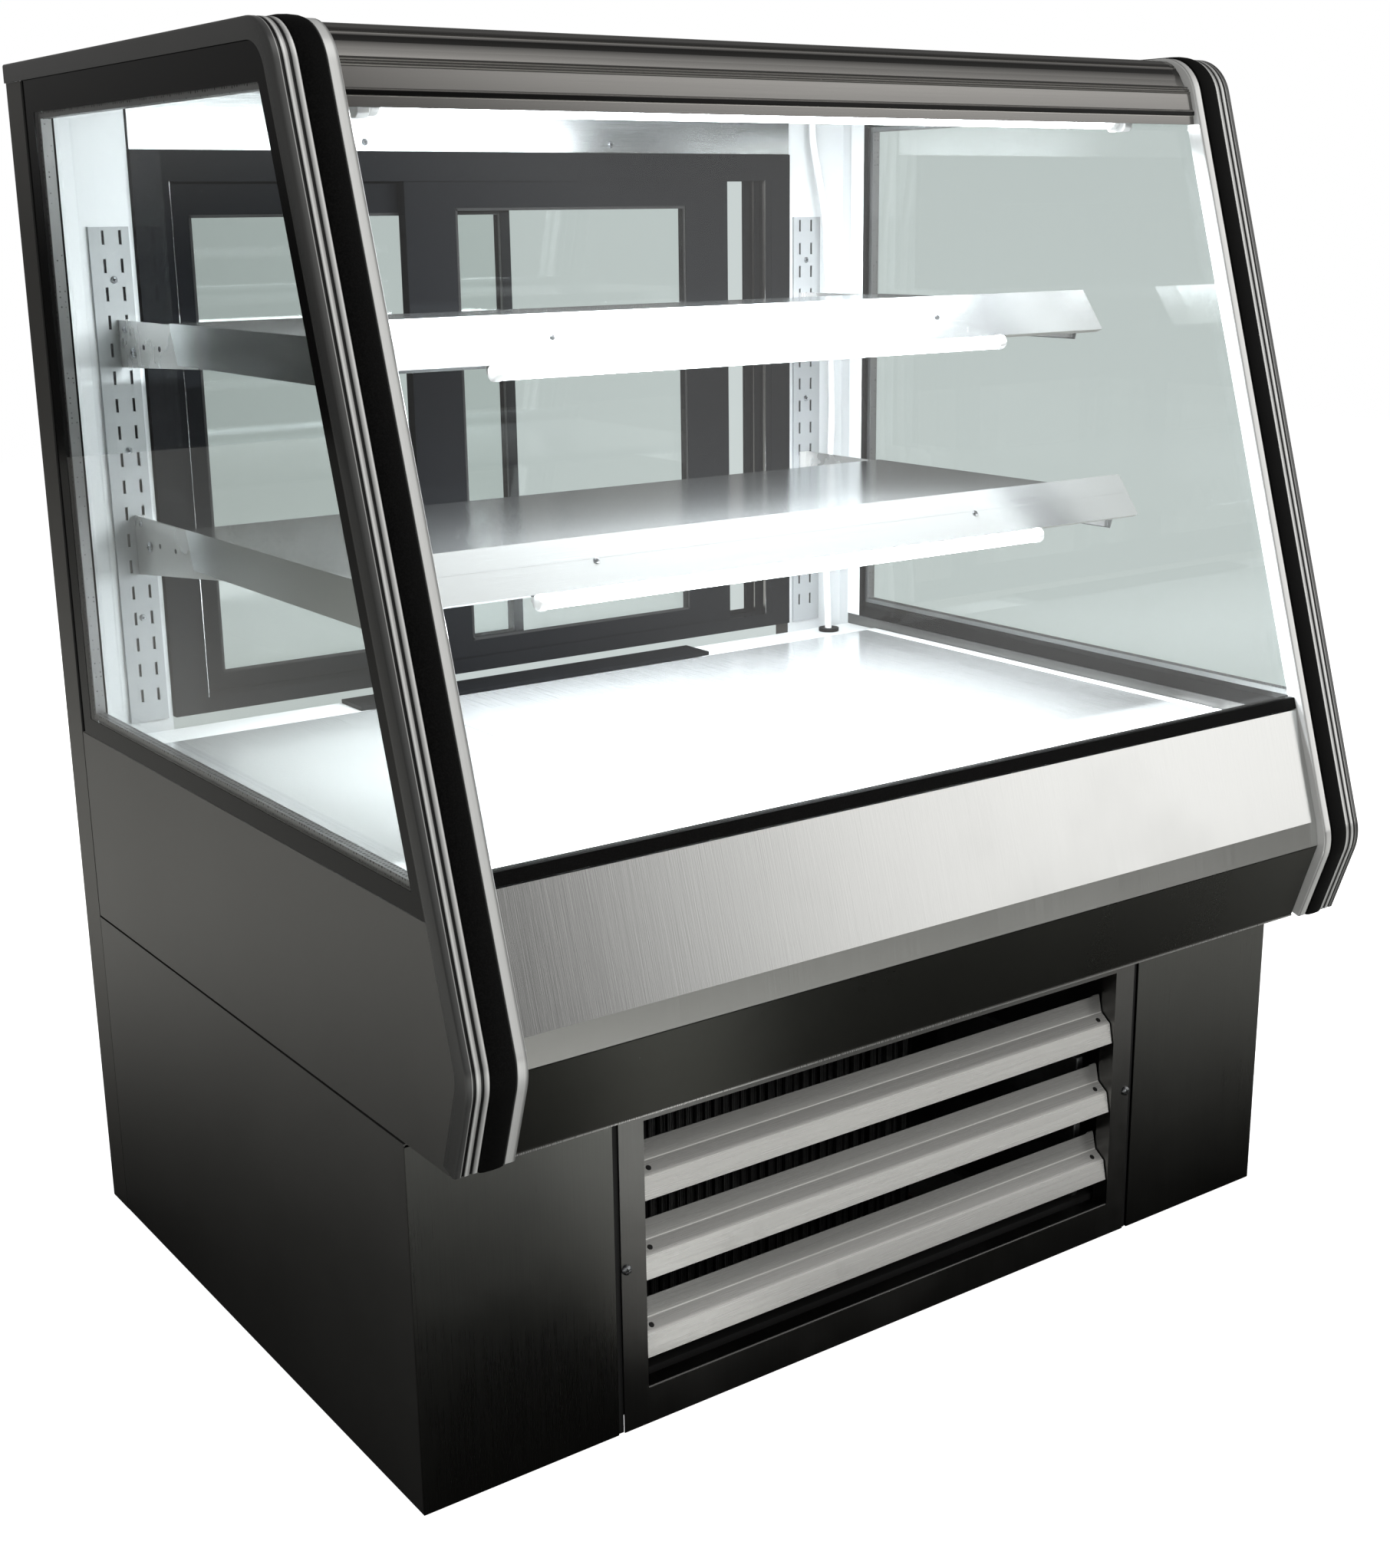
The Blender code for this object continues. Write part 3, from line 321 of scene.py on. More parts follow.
def banded(name, colour, roughness, metallic, axis, tones):
    """Extrusion with painted highlights on its crowns and painted shade in its grooves along it, told apart by
    their place across it.
    """
    mat, g = material(name)
    split = g.node("ShaderNodeSeparateXYZ", {0: g.place()})
    across = g.math("ABSOLUTE", split.outputs[axis])
    wear = g.noise(1.0, (2500.0, 8.0, 5.0) if axis == 0 else (5.0, 2500.0, 2500.0), 2.0)
    # the painted highlights and shade are multiplied into the colour
    base = g.mix(1.0, colour, tone_ramp(g, across, tones), "MULTIPLY")
    base = g.mix(g.remap(wear, 0.3, 0.8, 0.0, 0.12), base, grey(0.08))
    shader = g.node("ShaderNodeBsdfPrincipled", {
        "Base Color": base, "Metallic": metallic, "Roughness": g.remap(wear, 0.2, 0.8, roughness - 0.03,
                                                                       roughness + 0.04)})
    surface(g, shader.outputs[0])
    return mat


LOUVER_PITCH = 0.0901
LOUVER_FOOT_Z = 0.0758                # lower edge of the lowest blade, where its painted shade and highlight tones start
TOP_LOUVER_Z = 0.2570


def louvered(name, colour, roughness):
    """Folded blades with painted light by height on each blade: painted shade on the upper flange, a painted
    highlight at the bend, the lower face painted bright.
    """
    mat, g = material(name)
    split = g.node("ShaderNodeSeparateXYZ", {0: g.place()})
    rise = g.math("MULTIPLY", g.math("FRACT",
                                     g.math("MULTIPLY_ADD", split.outputs[2], 1 / LOUVER_PITCH,
                                            -LOUVER_FOOT_Z / LOUVER_PITCH)), LOUVER_PITCH)
    # painted shade and painted highlights by height within each blade
    tones = ((0.0, 0.78), (0.006, 0.88), (0.0245, 0.92), (0.0255, 1.0), (0.0275, 0.60), (0.0345, 0.52),
             (0.0355, 1.0), (0.0365, 0.42),
             (0.0450, 0.30), (0.0575, 0.26))
    strokes = g.noise(1.0, (7.0, 300.0, 300.0), 3.0, 0.6)
    stain = g.noise(14.0, detail=4.0, roughness=0.62)
    base = g.mix(1.0, colour, tone_ramp(g, rise, tones), "MULTIPLY")
    base = g.mix(g.remap(strokes, 0.3, 0.8, 0.0, 0.14), base, grey(0.25))
    base = g.mix(g.remap(stain, 0.60, 0.80, 0.0, 0.30, smooth=True), base, grey(0.22, (1.0, 0.97, 0.90)))
    shader = g.node("ShaderNodeBsdfPrincipled", {
        "Base Color": base, "Metallic": 0.28, "Roughness": g.remap(strokes, 0.2, 0.8, roughness - 0.04,
                                                                   roughness + 0.06),
        "Normal": g.bump(strokes, 0.08, 0.0004)})
    surface(g, shader.outputs[0])
    return mat


GRAIN_X = (6.0, 900.0, 900.0)
GRAIN_UP = (900.0, 14.0, 10.0)
GRAIN_DEPTH = (900.0, 8.0, 900.0)
MATS = {
    "graphite_panel": painted("graphite_panel_look", grey(0.16, (1.01, 1.0, 0.975)), 0.30, 0.85, 1400.0, 0.05,
                              0.10),
    # the underside look is the graphite paint made darker: painted shade under the nose
    "underside": painted("underside_painted_shade_look", grey(0.065, (1.0, 1.0, 0.90)), 0.26, 0.85, 1400.0, 0.04, 0.08),
    "dark_steel": brushed("dark_brushed_panel_look", grey(0.17, (1.0, 1.0, 0.95)), 0.28, GRAIN_UP, smudge=0.10,
                          smudge_scale=3.0),
    "stainless": brushed("stainless_look", grey(0.68, (1.0, 0.995, 0.985)), 0.27, GRAIN_UP, metallic=0.7),
    "fascia": brushed("stainless_fascia_look", grey(0.74, (0.99, 1.0, 0.99)), 0.19, GRAIN_UP, smudge=0.06,
                      smudge_scale=2.2),
    "shelf_steel": brushed("stainless_shelf_look", grey(0.68, (0.97, 1.0, 1.01)), 0.17, GRAIN_X, metallic=0.935,
                           smudge=0.04),
    "deck_steel": brushed("stainless_deck_look", grey(0.78, (0.975, 1.0, 1.01)), 0.20, GRAIN_DEPTH,
                          metallic=0.62, smudge=0.05,
                          smudge_scale=7.0),
    "grille_steel": brushed("stainless_grille_look", grey(0.22, (1.0, 0.985, 0.96)), 0.32, GRAIN_UP,
                            smudge=0.10, smudge_scale=9.0),
    "louver_steel": louvered("louver_steel_look", grey(0.95, (1.0, 0.995, 0.97)), 0.26),
    "anodised_aluminium": banded("anodised_trim_look", grey(1.0, (0.99, 1.0, 0.995)), 0.12, 0.25, 0,
                                 TRIM_HIGHLIGHT_AND_SHADE_TONES),
    "rail_aluminium": banded("anodised_rail_look", grey(0.62, (1.0, 0.975, 0.94)), 0.16, 0.85, 2, RAIL_HIGHLIGHT_AND_SHADE_TONES),
    "black_vinyl": vinyl("black_vinyl_look", grey(0.0012), 0.58),
    "black_frame": painted("black_door_look", grey(0.006, (0.90, 0.98, 1.14)), 0.20, 0.0, 1800.0, 0.02, 0.02,
                           specular=0.035),
    "white_liner": painted("white_liner_look", grey(0.84, (0.985, 1.0, 1.0)), 0.42, 0.0, 700.0, 0.06, 0.04,
                           grey(0.62)),
    "foam_body": painted("white_plastic_liner_look", grey(0.82, (0.985, 1.0, 1.0)), 0.40, 0.0, 500.0, 0.05,
                         0.05, grey(0.6)),
    "clear_glass": glass("clear_glass_look", grey(0.955, (0.985, 1.0, 0.992))),
    "front_glass": glass("front_glass_look", grey(0.985, (0.995, 1.0, 0.998)), reflect=0.6),
    "lamp_tube": lamp("lamp_tube_look", (0.93, 0.97, 1.0, 1.0), 16.0),
    "white_cable": painted("white_cable_look", grey(0.80), 0.38, 0.0, 600.0, 0.05, 0.05, grey(0.5)),
    "steel_frame": painted("base_frame_look", grey(0.020), 0.55, 0.2, 500.0, 0.20, 0.20),
    "coil_fins": finned("coil_fins_look", grey(0.10), 0.0024, 0),
    "fan_blade": brushed("fan_blade_look", grey(0.32), 0.42, (40.0, 40.0, 40.0), smudge=0.3),
    "compressor_black": painted("compressor_look", grey(0.014), 0.32, 0.0, 300.0, 0.10, 0.12),
    "galvanised": brushed("galvanised_look", grey(0.46, (0.97, 0.99, 1.02)), 0.40, (70.0, 70.0, 70.0),
                          tone=0.25, smudge=0.25),
    "control_plastic": painted("control_plastic_look", grey(0.022), 0.48, 0.0, 1500.0, 0.20, 0.06),
    "switch_red": painted("switch_red_look", (0.36, 0.018, 0.014, 1.0), 0.28, 0.0, 1500.0, 0.02, 0.03),
    "frit": painted("glass_border_look", grey(0.003), 0.08, 0.0, 60.0, 0.01, 0.01, specular=0.16),
    "spacer": perforated("spacer_bar_look", grey(0.34), 0.0056),
    "screw_steel": brushed("screw_look", grey(0.50, (0.96, 0.99, 1.04)), 0.26, (400.0, 400.0, 400.0),
                           smudge=0.1),
    # near-black: painted shade for screw recesses, holes, slots and seams; the louver spot welds also use it
    "recess": painted("recess_look", grey(0.012), 0.6),
    "copper": brushed("copper_look", (0.62, 0.24, 0.12, 1.0), 0.32, (120.0, 120.0, 120.0), smudge=0.35),
    "rubber": painted("rubber_look", grey(0.014), 0.62, 0.0, 900.0, 0.15, 0.12),
    "white_plastic": painted("white_plastic_look", grey(0.80), 0.34, 0.0, 1500.0, 0.04, 0.05, grey(0.55)),
    "post": lined_post("rear_post_look", grey(0.13, (1.02, 1.0, 0.955)), grey(0.66, (0.975, 1.0, 1.01))),
    "standard": painted("standard_look", grey(0.32, (0.96, 1.0, 1.02)), 0.34, 0.0, 900.0, 0.04, 0.10,
                        grey(0.26)),
    # a bright strip: painted highlight along the tips of the door jamb lips
    "polished": brushed("jamb_edge_highlight_look", grey(0.78), 0.14, GRAIN_X, smudge=0.04),
}

NODE_LOOKS = {
    "front_fascia": "fascia", "front_underside_panel": "underside", "deck_pan_left": "deck_steel",
    "deck_pan_right": "deck_steel", "shelf_upper": "shelf_steel",
    "shelf_lower": "shelf_steel", "grille_frame": "grille_steel", "front_glass": "front_glass",
    "base_front_panel_left": "dark_steel", "base_front_panel_right": "dark_steel", "rear_post_left": "post",
    "rear_post_right": "post",
    "shelf_standard_left": "standard", "shelf_standard_right": "standard",
}


def dress_nodes():
    """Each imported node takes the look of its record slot, or a closer one of its own."""
    slots = {}
    for entry in frame["record"].get("materials", []):
        for node in entry.get("nodes", []):
            slots[node] = entry["slot"]
    for name, obj in NODES.items():
        slot = slots.get(name)
        for holder in obj.material_slots:
            slot = slot or holder.material.name.split(".")[0]
            holder.material = MATS[NODE_LOOKS.get(name, slot)]


dress_nodes()


# ---- stage: floor, world and lamps ---------------------------------------------------------------
def stage_floor():
    mesh = bpy.data.meshes.new("floor")
    half = 9.0
    mesh.from_pydata([(-half, -half, 0), (half, -half, 0), (half, half, 0), (-half, half, 0)], [],
                     [(0, 1, 2, 3)])
    obj = bpy.data.objects.new("floor", mesh)
    SCENE.collection.objects.link(obj)
    obj.location.z = -0.0005
    mat, g = material("pale_floor")
    path = g.node("ShaderNodeLightPath")
    seen = g.math("MULTIPLY", path.outputs["Is Camera Ray"],
                  g.math("LESS_THAN", path.outputs["Transparent Depth"], 0.5))
    tone = g.noise(1.5, detail=4.0)
    pale = g.node("ShaderNodeBsdfDiffuse", {"Color": g.mix(tone, grey(0.93), grey(0.97))})
    lit = g.node("ShaderNodeEmission", {"Color": grey(1.0), "Strength": 0.88})
    shown = g.node("ShaderNodeAddShader", {0: pale.outputs[0], 1: lit.outputs[0]})
    # For rays other than the camera's own the floor is painted: painted shadow near the case, growing paler
    # further away, and a painted pool of light in a slanting patch ahead of it where the case's lamps would
    # spill through the front glass.
    split = g.node("ShaderNodeSeparateXYZ", {0: g.place()})
    x, y = split.outputs[0], split.outputs[1]
    away = g.math("SQRT", g.math("ADD", g.math("MULTIPLY", x, x), g.math("MULTIPLY", y, y)))
    edge = g.math("ADD", x, g.math("MULTIPLY_ADD", y, 0.44,
                                   0.525))              # 0 along a slanting line ahead of the case
    painted_light_pool = g.math("MULTIPLY", g.remap(edge, -0.02, 0.10, smooth=True),
                   g.remap(edge, 0.16, 0.34, 1.0, 0.0, smooth=True))
    painted_light_pool = g.math("MULTIPLY", painted_light_pool, g.math("LESS_THAN", y, -0.52))
    painted_floor_shadow_and_light = g.math("MAXIMUM", g.remap(away, 0.66, 2.0, 0.025, 0.72, smooth=True), g.math("MULTIPLY", painted_light_pool, 1.0))
    painted_floor_colour = g.mix(painted_floor_shadow_and_light, grey(0.0), grey(1.0, (1.0, 1.0, 0.96)))
    dark = g.node("ShaderNodeBsdfDiffuse", {"Color": painted_floor_colour})
    haze = g.node("ShaderNodeEmission", {"Color": grey(0.66, (0.91, 1.0, 0.99)), "Strength": 1.0})
    behind = g.node("ShaderNodeMixShader", {0: path.outputs["Is Camera Ray"], 1: dark.outputs[0],
                                            2: haze.outputs[0]})
    both = g.node("ShaderNodeMixShader", {0: seen, 1: behind.outputs[0], 2: shown.outputs[0]})
    surface(g, both.outputs[0])
    mesh.materials.append(mat)


def world():
    """White behind the case; a dim workshop, bright to the front right, for everything it mirrors."""
    room = bpy.data.worlds.new("room")
    SCENE.world = room
    room.use_nodes = True
    g = Graph(room.node_tree)
    coords = g.node("ShaderNodeTexCoord")
    split = g.node("ShaderNodeSeparateXYZ", {0: coords.outputs["Generated"]})
    x, y, z = split.outputs[0], split.outputs[1], split.outputs[2]
    azimuth = g.math("ARCTAN2", x, g.math("MULTIPLY", y, -1.0))        # 0 at the front, growing to the right
    side = g.node("ShaderNodeValToRGB", {0: g.remap(azimuth, -math.pi, math.pi)})
    ramp = side.color_ramp
    stops = ((0.0, 0.22), (0.16, 0.20), (0.30, 0.16), (0.42, 0.08), (0.50, 0.08), (0.575, 0.10), (0.590, 0.50),
             (0.605, 1.15), (0.63, 1.38), (0.67, 1.15), (0.73, 0.30), (0.80, 0.12), (1.0, 0.22))
    for element, (at, value) in zip((ramp.elements[0], ramp.elements[1]), (stops[0], stops[-1])):
        element.position = at
        element.color = grey(value, (1.0, 0.99, 0.97))
    for at, value in stops[1:-1]:
        ramp.elements.new(at).color = grey(value, (1.0, 0.99, 0.97))
    lift = g.remap(z, -0.03, 0.08, 0.10, 1.0, smooth=True)
    ceiling = g.remap(z, 0.25, 0.9, 1.0, 0.75, smooth=True)
    strength = g.math("MULTIPLY", lift, ceiling)
    dim = g.node("ShaderNodeBackground", {"Color": side.outputs[0], "Strength": strength})
    through = g.node("ShaderNodeBackground", {"Color": grey(0.70, (0.91, 1.0, 0.99)),
                                              "Strength": g.remap(z, -0.6, 0.3, 1.05, 0.85)})
    path = g.node("ShaderNodeLightPath")
    dim = g.node("ShaderNodeMixShader", {0: path.outputs["Is Camera Ray"], 1: dim.outputs[0],
                                         2: through.outputs[0]})
    white = g.node("ShaderNodeBackground", {"Color": grey(1.0), "Strength": 1.0})
    direct = g.math("MULTIPLY", path.outputs["Is Camera Ray"],
                    g.math("LESS_THAN", path.outputs["Transparent Depth"], 0.5))
    both = g.node("ShaderNodeMixShader", {0: direct, 1: dim.outputs[0], 2: white.outputs[0]})
    g.node("ShaderNodeOutputWorld", {"Surface": both.outputs[0]})


def area_lamp(name, place, aim, size, power, colour=(1.0, 1.0, 1.0), spread=None, glossy=True):
    data = bpy.data.lights.new(name, "AREA")
    data.shape = "RECTANGLE"
    data.size, data.size_y = size
    data.energy = power
    data.color = colour
    if spread:
        data.spread = math.radians(spread)
    obj = bpy.data.objects.new(name, data)
    SCENE.collection.objects.link(obj)
    obj.location = place
    obj.rotation_euler = (Vector(aim) - Vector(place)).to_track_quat("-Z", "Y").to_euler()
    obj.visible_camera = False
    obj.visible_glossy = glossy
    obj.visible_transmission = False
    return obj


def lamps():
    cool = (0.93, 0.97, 1.0)
    for name, power in (("canopy_lamp", 36.0), ("shelf_lamp_upper", 22.0), ("shelf_lamp_lower", 9.0)):
        low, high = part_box(name)
        at = (0.0, (low.y + high.y) / 2, low.z - 0.002)
        area_lamp("glow_" + name, at, (0.0, at[1] + 0.10, at[2] - 0.35), (high.x - low.x - 0.02, 0.020), power,
                  cool, glossy=False)
    area_lamp("soft_front", (-0.6, -3.4, 2.7), (0.0, 0.0, 0.6), (2.2, 1.4), 55.0, (1.0, 0.99, 0.97),
              glossy=False)
    # stands for the light that shelf and deck throw back and forth
    area_lamp("shelf_bounce", (0.0, BACK - 0.36, 0.860), (0.0, BACK - 0.36, 0.0), (0.95, 0.34), 9.0, cool,
              glossy=False)
    area_lamp("soft_rear", (1.2, 3.6, 2.4), (0.0, 0.2, 0.6), (2.2, 1.4), 60.0, (1.0, 0.99, 0.97), glossy=False)
    area_lamp("soft_left", (-3.4, -0.6, 2.2), (0.0, 0.0, 0.7), (1.8, 1.8), 30.0, (1.0, 0.99, 0.97),
              glossy=False)


stage_floor()
world()
lamps()


# ---- making pieces -------------------------------------------------------------------------------
def piece(name, cage, look, body="case", crisp=32.0, bevel=0.0):
    """Makes a cage a piece of the model: outward normals, crisp edges, a look and a body."""
    bmesh.ops.recalc_face_normals(cage, faces=cage.faces)
    for face in cage.faces:
        face.smooth = True
    for edge in cage.edges:
        edge.smooth = len(edge.link_faces) == 2 and edge.calc_face_angle(0.0) < math.radians(crisp)
    mesh = bpy.data.meshes.new(name)
    cage.to_mesh(mesh)
    cage.free()
    obj = bpy.data.objects.new(name, mesh)
    SCENE.collection.objects.link(obj)
    mesh.materials.append(MATS[look])
    if bevel:
        edges = obj.modifiers.new("edges", "BEVEL")
        edges.width = bevel
        edges.segments = 2
        edges.limit_method = "ANGLE"
    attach(obj, body)
    return obj


def add_prism(cage, outline, span, axis="x"):
    """Extrudes a closed outline: (d, z) along x, (x, d) along z, or (x, z) along depth."""
    def spot(a, b, c):
        return {"x": (c, BACK - a, b), "z": (a, BACK - b, c), "d": (a, BACK - c, b)}[axis]
    low = [cage.verts.new(spot(a, b, span[0])) for a, b in outline]
    high = [cage.verts.new(spot(a, b, span[1])) for a, b in outline]
    cage.faces.new(low)
    cage.faces.new(reversed(high))
    for i in range(len(outline)):
        j = (i + 1) % len(outline)
        cage.faces.new((low[i], low[j], high[j], high[i]))


def add_box(cage, x, d, z):
    add_prism(cage, [(d[0], z[0]), (d[1], z[0]), (d[1], z[1]), (d[0], z[1])], x)


def add_ring(cage, outer, inner, span):
    """A flat frame between two outlines of (depth, height) with as many points each, as thick as span of x."""
    rows = [[cage.verts.new((x, BACK - d, z)) for d, z in outline] for x in span for outline in (outer, inner)]
    count = len(outer)
    for i in range(count):
        j = (i + 1) % count
        for a, b in ((0, 1), (1, 3), (3, 2), (2, 0)):
            cage.faces.new((rows[a][i], rows[a][j], rows[b][j], rows[b][i]))


def add_lathe(cage, profile, centre, axis, sides=24):
    """Turns a profile of (radius, height) points about an axis through centre, closed where the radius is 0."""
    frame_of = Vector((0, 0, 1)).rotation_difference(Vector(axis).normalized()).to_matrix()
    middle = Vector((centre[0], BACK - centre[1], centre[2]))
    rings = []
    for radius, height in profile:
        if radius < 1e-6:
            rings.append([cage.verts.new(middle + frame_of @ Vector((0, 0, height)))])
            continue
        ring = []
        for i in range(sides):
            angle = math.tau * i / sides
            ring.append(cage.verts.new(middle + frame_of @ Vector((radius * math.cos(angle),
                                                                   radius * math.sin(angle), height))))
        rings.append(ring)
    for ring, following in zip(rings, rings[1:]):
        for i in range(sides):
            j = (i + 1) % sides
            if len(ring) == 1 and len(following) == 1:
                continue
            if len(ring) == 1:
                cage.faces.new((ring[0], following[j], following[i]))
            elif len(following) == 1:
                cage.faces.new((ring[i], ring[j], following[0]))
            else:
                cage.faces.new((ring[i], ring[j], following[j], following[i]))


def add_tube(cage, points, radius, sides=12):
    """A round tube with flat ends through points of (x, depth, height)."""
    path = [Vector((x, BACK - d, z)) for x, d, z in points]
    rings = []
    side = None
    for i, point in enumerate(path):
        along = (path[min(i + 1, len(path) - 1)] - path[max(i - 1, 0)]).normalized()
        if side is None:
            side = along.orthogonal().normalized()
        side = (side - along * side.dot(along)).normalized()
        other = along.cross(side)
        angles = [math.tau * k / sides for k in range(sides)]
        rings.append([cage.verts.new(point + radius * (math.cos(angle) * side + math.sin(angle) * other))
                      for angle in angles])
    for ring, following in zip(rings, rings[1:]):
        for i in range(sides):
            j = (i + 1) % sides
            cage.faces.new((ring[i], ring[j], following[j], following[i]))
    cage.faces.new(rings[0])
    cage.faces.new(reversed(rings[-1]))


def smooth(points, steps):
    """Points along a Catmull-Rom curve through the given ones."""
    points = [Vector(p) for p in points]
    ends = [points[0] * 2 - points[1], *points, points[-1] * 2 - points[-2]]
    out = []
    for a, b, c, e in zip(ends, ends[1:], ends[2:], ends[3:]):
        for i in range(steps):
            t = i / steps
            square, cube = 2 * a - 5 * b + 4 * c - e, 3 * b - a - 3 * c + e
            out.append(0.5 * (2 * b + (c - a) * t + square * t ** 2 + cube * t ** 3))
    return [*out, points[-1]]


def rounded(points, radii, steps=14):
    """A polyline whose inner corners are replaced with tangent arcs."""
    out = [Vector(points[0])]
    for before, corner, after, radius in zip(points, points[1:], points[2:], radii):
        before, corner, after = Vector(before), Vector(corner), Vector(after)
        u, v = (before - corner).normalized(), (after - corner).normalized()
        half = u.angle(v) / 2
        start = corner + u * radius / math.tan(half)
        end = corner + v * radius / math.tan(half)
        centre = corner + (u + v).normalized() * radius / math.sin(half)
        a, b = start - centre, end - centre
        turn = a.angle_signed(b)
        for i in range(steps + 1):
            angle = -turn * i / steps
            out.append(centre + Vector((a.x * math.cos(angle) - a.y * math.sin(angle),
                                        a.x * math.sin(angle) + a.y * math.cos(angle))))
    out.append(Vector(points[-1]))
    return out


class Screws:
    """Pan heads with a cross recess, gathered into one piece of heads and one of recesses."""

    def __init__(self):
        self.heads, self.slots = bmesh.new(), bmesh.new()

    def add(self, centre, axis, radius=0.0038, height=0.0018):
        profile = [(radius, 0.0), (radius, height * 0.35), (radius * 0.86, height * 0.72),
                   (radius * 0.55, height * 0.95), (0.0, height)]
        add_lathe(self.heads, profile, centre, axis, 20)
        turn = Vector((0, 0, 1)).rotation_difference(Vector(axis).normalized()).to_matrix().to_4x4()
        middle = Matrix.Translation((centre[0], BACK - centre[1], centre[2])) @ turn
        for angle in (0.35, 0.35 + math.pi / 2):
            size = Matrix.Diagonal((radius * 1.05, radius * 0.20, height * 0.36, 1.0))
            at = Matrix.Translation((0, 0, height * 0.86))
            bmesh.ops.create_cube(self.slots, size=1.0,
                                  matrix=middle @ Matrix.Rotation(angle, 4, "Z") @ at @ size)

    def done(self, name, body="case"):
        piece(name, self.heads, "screw_steel", body)
        # the cross recesses are near-black boxes: painted shade in them
        piece(name + "_recess", self.slots, "recess", body)


RIGHT, UP, FRONT = (1, 0, 0), (0, 0, 1), (0, -1, 0)


# ---- end trims and bumper inserts, with smooth corners -------------------------------------------
TRIM_PROUD = 0.0084
TRIM_TOP = 1.3945
NOSE_Z = 0.500
TRIM_PATH = rounded([(0.0, TRIM_TOP), (slant_d(TRIM_TOP) + TRIM_PROUD, TRIM_TOP),
                     (slant_d(NOSE_Z) + TRIM_PROUD, NOSE_Z), (0.948, 0.402)],
                    (0.055, 0.060))


def add_sweep(cage, path, section, mirror):
    """Carries a section of (x, offset out of the path) along a path of (depth, height)."""
    rings = []
    for i, point in enumerate(path):
        legs = []
        if i:
            legs.append((point - path[i - 1]).normalized())
        if i < len(path) - 1:
            legs.append((path[i + 1] - point).normalized())
        normals = [Vector((-leg.y, leg.x)) for leg in legs]
        mitre = sum(normals, Vector((0.0, 0.0))).normalized()
        mitre /= mitre.dot(normals[0])
        rings.append([cage.verts.new((mirror * x, BACK - (point.x + mitre.x * off), point.y + mitre.y * off))
                      for x, off in section])
    for ring, following in zip(rings, rings[1:]):
        for i in range(len(section)):
            j = (i + 1) % len(section)
            cage.faces.new((ring[i], ring[j], following[j], following[i]))
    cage.faces.new(rings[0])
    cage.faces.new(reversed(rings[-1]))


def trims():
    rib = 0.0012
    section = [(-0.6095, -0.0200), (-0.6095, -0.0022), (-0.6090, -0.0008), (-0.6080, 0.0), (-0.6022, 0.0),
               (-0.6018, -rib), (-0.5997, -rib),
               (-0.5993, 0.0), (-0.5940, 0.0), (-0.5936, -rib), (-0.5915, -rib), (-0.5911, 0.0), (-0.5858, 0.0),
               (-0.5850, -0.0008),
               (-0.5850, -0.0060), (-0.5585, -0.0060), (-0.5585, -0.0008), (-0.5577, 0.0), (-0.5470, 0.0),
               (-0.5460, -0.0010),
               (-0.5460, -0.0180), (-0.5480, -0.0180), (-0.5480, -0.0085), (-0.6077, -0.0085),
               (-0.6077, -0.0200)]
    crown = 0.0025
    insert = [(-0.5847, -0.0057), (-0.5847, 0.0), (-0.5836, 0.0012), (-0.5800, 0.0021), (-0.5717, crown),
              (-0.5634, 0.0021),
              (-0.5599, 0.0012), (-0.5588, 0.0), (-0.5588, -0.0057)]
    for side, mirror in (("left", 1), ("right", -1)):
        cage = bmesh.new()
        add_sweep(cage, TRIM_PATH, section, mirror)
        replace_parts(piece(f"end_trim_{side}_extrusion", cage, "anodised_aluminium"),
                    f"end_trim_{side}")
        cage = bmesh.new()
        add_sweep(cage, TRIM_PATH, insert, mirror)
        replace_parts(piece(f"bumper_{side}", cage, "black_vinyl"), f"trim_insert_{side}")


# ---- side glass borders --------------------------------------------------------------------------
def pane_corners(rear, foot, head, off, grow=0.0):
    return [(rear - grow, foot - grow), (slant_d(foot - grow, off + grow), foot - grow),
            (slant_d(head + grow, off + grow), head + grow), (rear - grow, head + grow)]


def glass_borders():
    sill, top = 0.6335, 1.3720
    outer = pane_corners(0.0515, sill + 0.0004, top - 0.0004, -0.0024)
    raised = pane_corners(0.0515, sill + 0.0004, 1.3765, -0.0024)
    clear = pane_corners(0.0850, 0.6555, 1.3400, -0.0330)
    inner_foot = pane_corners(0.0850, 0.6500, 1.3400, -0.0330)
    bar = pane_corners(0.0850, 0.6555, 1.3400, -0.0330, -0.0065)
    for side, sign in (("left", -1), ("right", 1)):
        face = 0.6069
        for where, x, hole in (("outer", (face + 0.0001, face + 0.0004), clear),
                               ("inner", (0.5862, 0.5866), inner_foot)):
            cage = bmesh.new()
            add_ring(cage, raised if where == "outer" else outer, hole, (sign * x[0], sign * x[1]))
            piece(f"glass_border_{side}_{where}", cage, "frit")
        cage = bmesh.new()
        add_ring(cage, clear, bar, (sign * 0.6030, sign * 0.5905))
        piece(f"glass_spacer_{side}", cage, "spacer", bevel=0.0006)
        cage = bmesh.new()
        add_tube(cage, [(sign * 0.6076, 0.0545, sill + 0.001), (sign * 0.6076, 0.0545, 1.3740)], 0.0014, 12)
        piece(f"glass_gasket_{side}", cage, "rubber")
        cage = bmesh.new()
        a, b = sorted((sign * 0.5846, sign * 0.5859))
        add_box(cage, (a, b), (0.0502, 0.0775), (0.6345, 1.3712))
        piece(f"glass_inner_strip_{side}", cage, "white_liner", bevel=0.0004)


